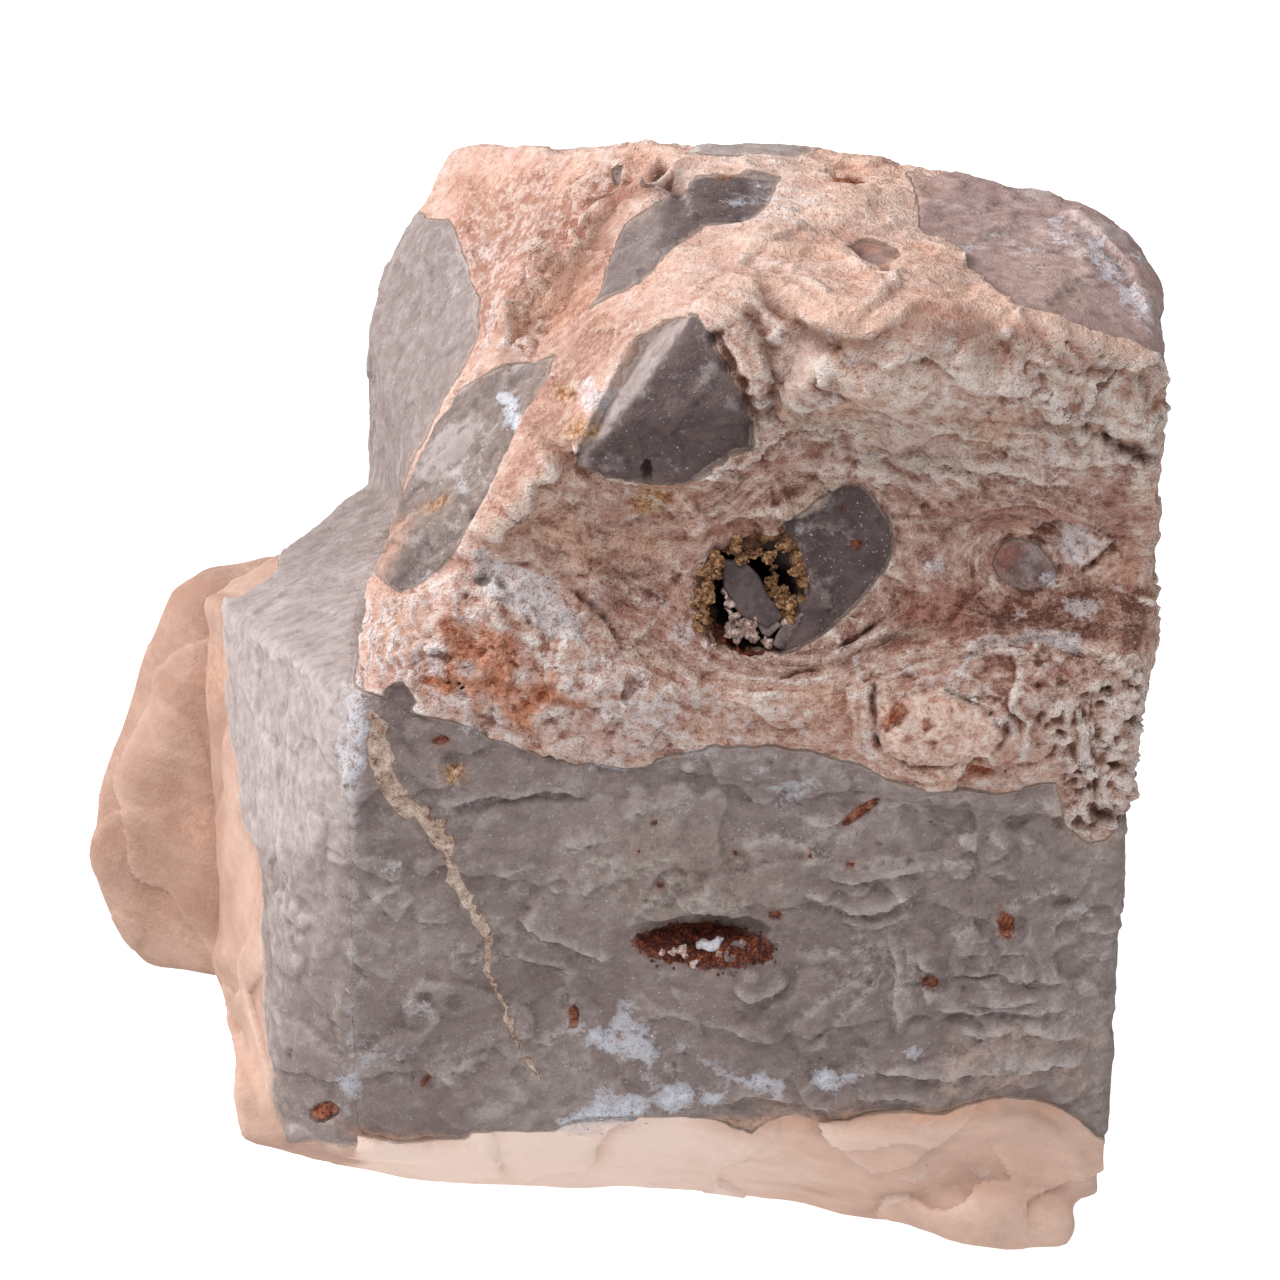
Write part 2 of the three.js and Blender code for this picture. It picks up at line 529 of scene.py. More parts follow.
CONTACT: tuple[Point2, ...] = (
    (-9.8, 22.1), (-7.7, 21.5), (-5.7, 20.8), (-3.4, 20.0), (-1.8, 19.4), (0.6, 19.1), (2.4, 19.4),
    (4.1, 19.9), (5.9, 19.9), (7.9, 19.6), (9.4, 19.2), (11.0, 18.6), (12.5, 18.2), (14.5, 18.1),
    (17.1, 18.4), (17.5, 17.0), (18.4, 16.2), (19.2, 16.4), (19.8, 17.4))
FOOT: tuple[Point2, ...] = (
    (-12.5, 5.0), (-11.4, 5.25), (-9.5, 4.7), (-8.0, 4.45), (-5.4, 4.6), (-5.2, 4.88), (-3.2, 4.9),
    (-2.1, 4.88), (-1.2, 5.3), (0.5, 5.44), (3.1, 5.44), (4.3, 5.35), (5.6, 4.8), (6.3, 5.3),
    (7.4, 5.6), (8.2, 5.4), (9.3, 5.35), (10.1, 5.6), (11.6, 5.76), (13.0, 5.6), (13.7, 5.9),
    (14.8, 6.17), (15.6, 6.3), (16.7, 6.17), (17.5, 5.9), (18.3, 5.42), (18.7, 5.0), (19.2, 4.6))

UPPER_LEFT_CLAST = Clast(
    Patch((
        (-8.8, 26.5), (-8.9, 27.4), (-8.1, 30.1), (-7.1, 32.0), (-6.4, 33.1), (-5.1, 33.6),
        (-3.8, 34.3), (-1.9, 34.7), (-2.1, 34.0), (-2.8, 32.8), (-3.3, 31.3), (-4.1, 29.4),
        (-5.2, 27.9), (-5.9, 26.9), (-6.9, 26.1), (-7.7, 25.7)), near=-14.0, far=-3.0),
    tone=0.33, tint=-0.4, rough=0.8)
RIDGE_CLAST = Clast(
    Patch((
        (-0.7, 36.2), (-0.2, 37.3), (0.3, 38.5), (0.8, 39.8), (2.2, 40.7), (3.5, 41.8),
        (6.8, 41.7), (6.2, 40.4), (5.4, 39.7), (3.6, 39.6), (2.4, 38.5), (1.4, 37.5),
        (0.1, 36.8)), near=-14.0, far=0.0),
    tone=0.33, tint=0.1)
PROUD_CLAST = Clast(Patch(((2.2, 35.9), (3.5, 36.0), (4.4, 34.4), (4.9, 33.3), (5.6, 32.0),
    (5.5, 31.1), (4.6, 30.9), (3.0, 29.7), (0.8, 29.9), (-1.0, 30.3), (-1.0, 30.7), (0.1, 33.3),
    (1.2, 35.3)), near=-17.0, far=-9.0), tone=0.08, tint=0.2)
CORNER_CLAST = Clast(Patch(((11.7, 42.1), (12.7, 41.8), (14.6, 42.4), (16.8, 42.6), (18.8, 41.8),
    (21.0, 40.4), (22.4, 38.4), (22.4, 36.0), (22.4, 34.6), (20.9, 34.4), (19.5, 34.9),
    (17.8, 35.2), (16.4, 35.7), (15.0, 36.4), (13.9, 37.5), (13.4, 38.6), (11.9, 39.5),
    (12.0, 40.9)), near=-19.0, far=7.0), tone=0.6, tint=1.0, rough=0.3)
HOLLOW_CLAST = Clast(
    Patch((
        (6.5, 23.3), (7.4, 23.55), (8.9, 24.6), (9.8, 25.5), (10.55, 26.6), (10.9, 27.5),
        (10.8, 28.3), (10.2, 29.3), (9.6, 29.75), (8.9, 29.7), (8.2, 29.3), (7.5, 28.75),
        (6.8, 28.45), (6.6, 27.6), (6.2, 26.0), (6.0, 24.5)), near=-14.0, far=-2.0),
    tone=0.05, tint=0.1)
BANDED_CLAST = Clast(
    Patch((
        (14.5, 26.8), (15.0, 27.45), (15.7, 27.7), (16.35, 27.45), (16.75, 26.9), (17.0, 26.4),
        (16.6, 25.9), (15.9, 25.75), (14.9, 26.25)), near=-15.0, far=-5.0),
    tone=0.28, tint=1.0, rough=0.4)
REAR_FLANK = Clast(
    Patch((
        (-15.2, 25.2), (-14.2, 25.8), (-13.2, 26.5), (-13.0, 29.4), (-12.0, 32.8), (-12.0, 36.4),
        (-10.0, 39.4), (-7.4, 40.9), (-6.3, 40.9), (-5.6, 39.2), (-5.0, 37.4), (-5.0, 35.8),
        (-6.0, 33.8), (-7.6, 31.2), (-8.3, 29.5), (-8.6, 27.5), (-9.1, 25.5), (-9.4, 23.5),
        (-9.8, 16.0), (-13.8, 16.0), (-14.8, 20.0)), near=-9.0, far=19.0),
    tone=0.48, tint=-0.1)
SMALL_CLASTS = (
    Clast(Patch(((0.2, 42.4), (0.8, 42.6), (0.5, 41.7)), -8, 6), 0.4),
    Clast(Patch(((9.2, 38.4), (9.7, 38.9), (10.8, 38.7), (11.1, 38.2), (10.5, 37.7), (9.7, 37.8)),
        -20, 0), tone=0.45, tint=1.0, rough=0.8),
    Clast(Patch(((-8.3, 21.0), (-8.2, 22.1), (-7.6, 22.4), (-7.0, 21.6), (-7.5, 20.8)), -14, -4),
        tone=0.3),
    Clast(Patch(((3.0, 42.9), (3.7, 43.4), (6.8, 43.4), (8.4, 43.0), (7.0, 42.6)), -6, 8),
        tone=0.6, tint=-0.4),
)
CLASTS = (
    UPPER_LEFT_CLAST, RIDGE_CLAST, PROUD_CLAST, CORNER_CLAST, HOLLOW_CLAST, BANDED_CLAST,
    REAR_FLANK, *SMALL_CLASTS)
BURIED = (
    BuriedClast((19.5, 0.5, 29.0), (3.0, 4.5, 3.2), 0.4),
    BuriedClast((20.5, -8.5, 33.0), (2.4, 2.6, 3.4), 0.35),
    BuriedClast((15.5, 12.0, 21.5), (5.0, 5.0, 4.5), 0.45),
    BuriedClast((4.0, 12.0, 31.5), (4.2, 3.4, 3.0), 0.3),
    BuriedClast((-4.5, 17.0, 24.0), (4.5, 3.6, 5.0), 0.5),
    BuriedClast((7.5, 16.5, 23.0), (2.6, 2.6, 2.0), 0.35),
    BuriedClast((12.5, 4.5, 36.5), (2.2, 1.8, 1.6), 0.4),
)

LEFT_FACE = Patch((
    (-15.1, 25.5), (-13.4, 23.9), (-10.0, 22.2), (-9.1, 22.0), (-9.1, 4.2), (-12.3, 4.5),
    (-12.9, 6.0), (-13.3, 9.0), (-13.4, 13.0), (-13.6, 15.6), (-14.4, 16.8), (-14.4, 18.0),
    (-15.0, 21.5)), near=-9.0, far=12.0)
VUG_MOUTH = Patch(((3.5, 24.7), (3.5, 25.8), (4.0, 27.0), (4.9, 27.7), (5.9, 28.0), (7.0, 27.9),
    (7.6, 26.9), (7.7, 25.6), (7.2, 25.0), (6.5, 24.2), (5.9, 23.5), (4.9, 23.3), (4.1, 23.7)),
    near=-14.0, far=-1.0)
LENS_VUG = Patch((
    (0.9, 12.4), (1.8, 12.8), (2.7, 13.1), (3.8, 13.1), (5.0, 12.9), (5.8, 12.7), (6.5, 12.2),
    (6.4, 11.7), (5.2, 11.4), (4.1, 11.3), (3.3, 11.4), (1.8, 11.8)), near=-10.0, far=-1.0)
PEBBLE = Patch((
    (10.25, 22.0), (10.9, 21.75), (11.6, 22.0), (12.6, 22.0), (13.6, 21.7), (14.5, 21.1),
    (15.1, 20.5), (15.0, 19.95), (14.2, 19.45), (13.0, 19.15), (11.8, 19.1), (10.8, 19.45),
    (10.3, 20.2), (10.15, 21.2)), near=-14.0, far=-3.0)
RUST_ZONE = Patch((
    (-6.8, 22.0), (-6.6, 23.3), (-6.0, 24.2), (-4.3, 23.9), (-2.8, 23.7), (-1.7, 23.0),
    (0.0, 21.6), (-0.2, 20.8), (-1.7, 20.6), (-3.6, 20.9), (-5.1, 21.5)), near=-14.0, far=-4.0)
POWDER_ZONE = Patch((
    (-5.0, 26.8), (-3.2, 26.5), (-2.2, 25.6), (-1.3, 24.4), (0.2, 23.3), (-1.7, 23.3),
    (-3.2, 24.4), (-4.3, 25.4)), near=-14.0, far=-4.0)
PITTED_ZONE = Patch((
    (13.6, 23.5), (15.3, 23.9), (17.2, 23.9), (18.7, 23.5), (19.6, 23.7), (20.5, 23.2),
    (20.4, 21.7), (20.2, 20.6), (20.0, 18.4), (19.9, 16.3), (18.4, 16.2), (17.6, 16.8),
    (17.3, 18.2), (16.8, 19.9), (15.3, 20.9), (13.8, 21.6), (13.3, 22.8)), near=-14.0, far=0.0)
CORAL_ZONE = Patch((
    (18.1, 21.6), (19.1, 22.4), (20.3, 23.0), (20.4, 21.7), (20.4, 20.2), (20.2, 19.0),
    (20.0, 17.6), (19.6, 16.4), (18.9, 16.7), (17.9, 16.9), (17.6, 18.4), (17.2, 19.7),
    (16.8, 20.9)), near=-14.0, far=0.0)
SCOOP_ZONE = Patch((
    (-5.0, 26.5), (-3.0, 28.3), (-1.0, 30.0), (1.0, 29.6), (3.0, 29.4), (5.8, 30.6), (7.2, 33.4),
    (9.0, 33.8), (12.0, 33.6), (15.0, 33.2), (18.0, 32.2), (20.8, 31.4), (20.8, 23.6),
    (19.0, 23.0), (13.4, 23.8), (10.0, 22.6), (6.0, 22.0), (2.0, 22.6), (-1.5, 24.3),
    (-3.3, 26.0)), near=-16.0, far=-4.0)
POWDER_HOLES = (
    Spot(-4.5, 26.2, 0.28, 1.3, 0.4),
    Spot(-3.9, 26.0, 0.22, 1.5, -0.6),
    Spot(-3.5, 25.6, 0.16, 1.4),
    Spot(-3.0, 25.4, 0.12, 1.2),
    Spot(-2.8, 24.6, 0.12, 1.0),
    Spot(-4.0, 25.4, 0.12, 1.6),
    Spot(-5.2, 25.6, 0.12, 1.0),
    Spot(-6.0, 25.2, 0.1, 1.3),
    Spot(-6.6, 24.0, 0.1, 1.0),
    Spot(2.2, 42.0, 0.3, 1.5, 0.8),
    Spot(1.7, 41.4, 0.16, 1.2),
    Spot(19.0, 17.2, 0.34, 1.6, 0.1),
    Spot(18.1, 18.1, 0.14, 1.4, 0.6),
    Spot(20.0, 20.9, 0.2, 1.2),
    Spot(19.6, 22.3, 0.16, 1.0),
    Spot(10.4, 16.2, 0.1, 1.3),
    Spot(13.0, 16.5, 0.09, 1.3),
    Spot(11.6, 15.6, 0.1, 1.6),
    Spot(0.2, 15.85, 0.08, 3.2, -0.1),
    Spot(16.0, 13.9, 0.08, 1.0),
    Spot(10.6, 37.6, 0.2, 1.8, -0.5),
)
FIBRE_ZONE = Patch((
    (-9.9, 22.0), (-9.4, 24.2), (-8.6, 25.6), (-7.0, 25.4), (-6.6, 23.6), (-6.9, 21.8),
    (-8.0, 22.4)), near=-14.0, far=0.0)
PORED_BAND = Patch((
    (-2.6, 34.6), (-1.8, 36.6), (-0.6, 39.4), (0.6, 41.4), (1.4, 43.0), (-1.0, 42.6), (-2.6, 40.4),
    (-3.6, 37.6), (-4.0, 35.0)), near=-14.0, far=8.0)
ROUGH_ROW = Patch(((6.6, 33.6), (8.4, 33.0), (10.0, 31.2), (12.4, 31.0), (14.4, 31.8),
    (17.4, 32.4), (20.6, 33.0), (20.6, 30.4), (17.0, 29.6), (13.6, 29.4), (10.6, 29.8),
    (8.0, 30.4), (6.4, 31.6)), near=-17.0, far=-4.0)
VEIN = Trace((
    (-8.7, 20.9), (-8.5, 20.1), (-8.25, 18.9), (-7.75, 17.8), (-7.2, 17.4), (-6.5, 17.0),
    (-6.05, 16.1), (-5.65, 14.8), (-5.0, 13.5), (-4.55, 12.5), (-4.4, 11.1), (-3.85, 9.8),
    (-3.5, 8.65), (-3.2, 7.8), (-2.5, 7.0)), near=-12.0, far=2.0)
WALL_EDGE = Trace((
    (-9.45, 22.2), (-9.5, 19.0), (-9.6, 14.0), (-9.75, 9.0), (-9.95, 5.6)), near=-12.0, far=3.0)
PROUD_FOLD = ((3.35, 35.9), (1.4, 33.1), (-0.75, 30.35))
RIDGE_FOLD = ((2.55, 41.2), (2.3, 40.2), (2.2, 39.4))

WALL_LEDGES = (
    Ledge(((-6.3, 17.15), (-5.55, 17.65), (-4.55, 18.05), (-3.2, 18.1), (-1.55, 18.05),
        (-0.55, 17.8)), 0.34, 0.5),
    Ledge(((-4.4, 12.8), (-3.2, 12.75), (-2.05, 12.4)), 0.16, 0.4),
    Ledge(((-3.4, 13.5), (-2.0, 12.65), (-0.7, 12.1), (0.5, 11.9)), 0.45, 0.7),
    Ledge(((-4.25, 11.9), (-2.55, 11.65), (-1.55, 11.25), (-1.2, 10.1), (-1.15, 9.4)), 0.26, 0.4),
    Ledge(((-6.2, 9.5), (-6.9, 10.0), (-7.9, 9.9)), 0.3, 0.5),
    Ledge(((8.5, 15.5), (7.65, 16.05), (6.65, 16.4), (5.65, 16.25), (5.0, 16.0)), 0.26, 0.5),
    Ledge(((7.35, 14.55), (8.35, 13.9), (9.35, 13.4), (11.0, 13.55), (12.2, 14.4)), 0.42, 0.6),
    Ledge(((8.1, 15.2), (9.4, 14.8), (11.1, 15.0), (12.4, 15.3)), 0.3, 0.45),
    Ledge(((8.9, 13.0), (10.4, 12.75), (12.0, 13.3)), 0.22, 0.4),
    Ledge(((12.9, 14.95), (13.9, 14.85), (14.0, 15.5), (13.0, 15.55), (12.85, 15.0)), 0.2, 0.4),
    Ledge(((13.45, 15.85), (14.1, 16.0), (14.05, 16.6), (13.6, 16.75), (13.4, 15.9)), 0.2, 0.4),
    Ledge(((17.4, 14.5), (16.0, 14.2), (15.0, 14.0)), 0.16, 0.4),
    Ledge(((10.75, 12.4), (10.9, 11.5), (10.95, 10.5), (11.1, 9.6), (11.05, 8.75)), 0.3, 0.3),
    Ledge(((11.35, 12.2), (11.5, 11.2), (11.55, 10.2), (11.7, 9.6)), 0.2, 0.22),
    Ledge(((11.8, 12.1), (12.1, 11.3), (12.15, 10.6), (12.3, 9.9)), 0.2, 0.22),
    Ledge(((12.3, 9.65), (13.7, 9.6), (15.0, 9.85), (16.7, 9.6), (18.0, 10.05)), 0.38, 0.4),
    Ledge(((12.85, 11.2), (13.7, 11.4), (15.2, 11.1), (16.3, 10.9), (18.0, 10.6)), 0.3, 0.35),
    Ledge(((13.7, 10.4), (15.0, 10.05), (16.7, 10.25)), 0.24, 0.25),
    Ledge(((13.2, 12.0), (14.5, 11.9), (16.5, 11.75)), 0.16, 0.3),
    Ledge(((10.5, 11.9), (8.5, 10.4), (6.6, 9.0)), 0.16, 0.9),
    Ledge(((10.6, 11.6), (9.4, 9.8), (8.0, 8.4)), 0.14, 0.7),
    Ledge(((10.5, 12.1), (8.8, 12.3), (7.2, 11.9)), 0.2, 0.6),
    Ledge(((4.9, 10.6), (5.7, 10.45), (6.5, 10.6), (7.1, 11.0)), 0.36, 0.4),
    Ledge(((13.3, 8.9), (14.5, 8.6), (16.0, 8.85), (18.3, 8.9)), 0.34, 0.5),
    Ledge(((9.6, 7.6), (12.0, 7.3), (14.6, 7.2), (17.0, 7.6), (18.8, 7.5)), 0.45, 0.55),
    Ledge(((3.5, 5.9), (5.5, 6.3), (8.0, 6.1), (10.5, 6.3), (13.0, 6.2)), 0.3, 0.5),
    Ledge(((-1.0, 15.6), (1.0, 15.35), (3.4, 15.7)), 0.1, 0.5),
    Ledge(((1.2, 14.0), (2.6, 13.9), (4.4, 14.1)), 0.08, 0.4),
    Ledge(((-9.2, 14.1), (-8.1, 13.7), (-7.2, 13.8)), 0.1, 0.4),
    Ledge(((-5.2, 8.4), (-5.6, 7.4), (-6.4, 6.9)), 0.2, 0.4),
    Ledge(((0.8, 9.2), (2.4, 9.5), (4.4, 8.9), (6.6, 8.3)), 0.2, 0.6),
)
MATRIX_LEDGES = (
    Ledge(((-3.9, 27.2), (-3.5, 28.3), (-2.75, 29.3), (-2.0, 30.0), (-1.2, 30.5)), 0.6, 1.0),
    Ledge(((-1.3, 30.6), (0.8, 29.8), (2.9, 29.65), (5.3, 30.8)), 0.3, 0.35),
    Ledge(((4.2, 28.4), (3.5, 28.9), (2.8, 29.6)), 0.35, 0.3),
    Ledge(((3.3, 27.4), (4.0, 28.1), (5.0, 28.5), (6.2, 28.6), (7.0, 28.35)), 0.4, 0.3),
    Ledge(((3.2, 22.0), (1.95, 22.1), (1.0, 22.7), (-0.55, 23.3)), 0.22, 0.5),
    Ledge(((1.0, 22.3), (-1.65, 22.55), (-3.75, 22.7)), 0.2, 0.4),
    Ledge(((4.4, 36.8), (6.2, 36.7), (7.8, 35.3), (9.9, 35.1), (11.6, 36.1), (13.6, 35.9),
        (16.1, 35.3), (18.2, 34.6), (20.4, 34.0)), 0.35, 1.1),
    Ledge(((-3.2, 27.9), (-1.7, 27.3), (-1.0, 25.7), (0.0, 24.8)), 0.2, 0.3),
    Ledge(((4.2, 28.4), (2.0, 28.2), (-0.5, 27.3)), 0.18, 0.3),
    Ledge(((3.2, 27.1), (2.9, 26.1), (2.0, 24.7), (0.7, 23.8)), 0.2, 0.3),
    Ledge(((16.1, 32.2), (17.5, 32.4), (19.0, 31.7), (20.6, 31.65)), 0.5, 0.5),
    Ledge(((14.2, 35.3), (15.7, 34.25), (17.5, 33.9), (19.0, 34.2)), 0.32, 0.5),
    Ledge(((9.0, 34.2), (10.4, 34.0), (12.0, 34.4), (13.9, 33.1), (16.1, 33.1)), 0.34, 0.6),
    Ledge(((8.4, 33.0), (10.4, 32.6), (12.6, 33.2)), 0.28, 0.5),
    Ledge(((10.2, 31.4), (12.8, 32.0), (14.6, 31.5), (16.5, 31.5)), 0.42, 0.5),
    Ledge(((11.0, 30.0), (12.4, 30.7), (13.9, 30.5), (16.1, 29.85), (18.6, 29.9)), 0.36, 0.45),
    Ledge(((9.0, 31.0), (10.4, 30.8), (11.6, 30.9)), 0.26, 0.4),
    Ledge(((16.6, 30.6), (18.4, 30.5), (20.4, 30.9)), 0.3, 0.4),
    Ledge(((11.4, 28.3), (13.9, 28.6), (17.2, 28.6), (19.4, 28.0)), 0.2, 0.4),
    Ledge(((7.5, 22.6), (9.6, 23.6), (11.4, 24.2), (13.4, 24.0)), 0.18, 0.5),
    Ledge(((13.0, 23.0), (14.6, 24.0), (16.6, 24.1), (18.4, 23.6), (20.0, 23.0)), 0.26, 0.4),
    Ledge(((-5.0, 27.3), (-4.0, 26.9), (-2.8, 26.9), (-1.6, 25.6), (-0.5, 24.0)), 0.24, 0.5),
    Ledge(((-1.4, 25.9), (-0.4, 25.2), (0.4, 24.6)), 0.2, 0.3),
    Ledge(((7.5, 40.4), (8.6, 40.0), (10.4, 39.9)), 0.2, 0.5),
    Ledge(((4.2, 38.9), (6.2, 38.4), (8.2, 38.2), (10.2, 37.2)), 0.24, 0.7),
    Ledge(((13.2, 39.3), (13.6, 38.1), (14.6, 36.9), (16.4, 36.0)), 0.2, 0.5),
    Ledge(((-2.9, 36.6), (-1.6, 38.0), (-0.4, 39.6), (0.6, 41.0)), 0.3, 0.6),
)


def small_ledges(count: int) -> tuple[Ledge, ...]:
    """Short chipped ledges scattered over the front wall, more of them at the right.

    Args:
        count: How many to make.

    Returns:
        The ledges.
    """
    draws = np.random.default_rng(SEED)
    made = []
    for _ in range(count):
        across = 19.2 - 28.0 * draws.random() ** 1.5
        up = draws.uniform(6.4, 17.8)
        turn, half = draws.normal(0.1, 0.45), draws.uniform(0.25, 1.1)
        x, y = half * math.cos(turn), half * math.sin(turn)
        bend = draws.normal(0.0, 0.25)
        line = ((across - x, up - y), (across - bend * y, up + bend * x), (across + x, up + y))
        made.append(Ledge(line, draws.uniform(0.06, 0.19), draws.uniform(0.12, 0.35)))
    return tuple(made)


CLAST_LEDGES = (
    Ledge(((8.75, 24.9), (8.75, 25.5), (8.35, 26.0), (7.7, 26.2)), 0.22, 0.5, -14, -2),
    Ledge(((7.1, 28.0), (7.9, 28.15), (9.5, 27.95)), 0.12, 0.4, -14, -2),
    Ledge(((8.7, 26.2), (8.2, 26.35), (7.6, 26.5)), 0.14, 0.3, -14, -2),
    Ledge(((6.6, 28.3), (7.4, 28.6), (8.2, 28.9), (8.6, 29.5)), 0.22, 0.3, -14, -2),
    Ledge(((17.2, 40.2), (18.8, 39.0), (19.9, 37.3), (20.5, 35.7)), 0.3, 0.6),
    Ledge(((13.5, 38.7), (14.6, 39.5), (16.4, 39.6), (17.9, 38.6), (18.3, 37.3)), 0.16, 0.6),
    Ledge(((16.2, 36.2), (17.4, 37.4), (18.8, 37.8)), 0.14, 0.5),
    Ledge(((12.4, 40.6), (13.6, 40.2), (15.2, 40.6)), 0.12, 0.5),
    Ledge(((-2.4, 34.2), (-3.3, 33.1), (-4.0, 32.3), (-4.9, 30.2), (-6.4, 28.7)), 0.12, 0.4),
    Ledge(((-3.6, 31.0), (-4.6, 29.4), (-5.8, 27.9)), 0.16, 0.4),
    Ledge(((-12.2, 20.4), (-12.0, 18.5), (-12.3, 16.0), (-12.5, 12.5)), 0.12, 0.9, -14, 12),
    Ledge(((-14.2, 24.0), (-13.0, 23.4), (-11.6, 22.6), (-10.4, 22.2)), 0.12, 0.4, -14, 12),
    Ledge(((2.9, 40.9), (3.3, 40.4), (3.4, 39.9)), 0.12, 0.3),
)
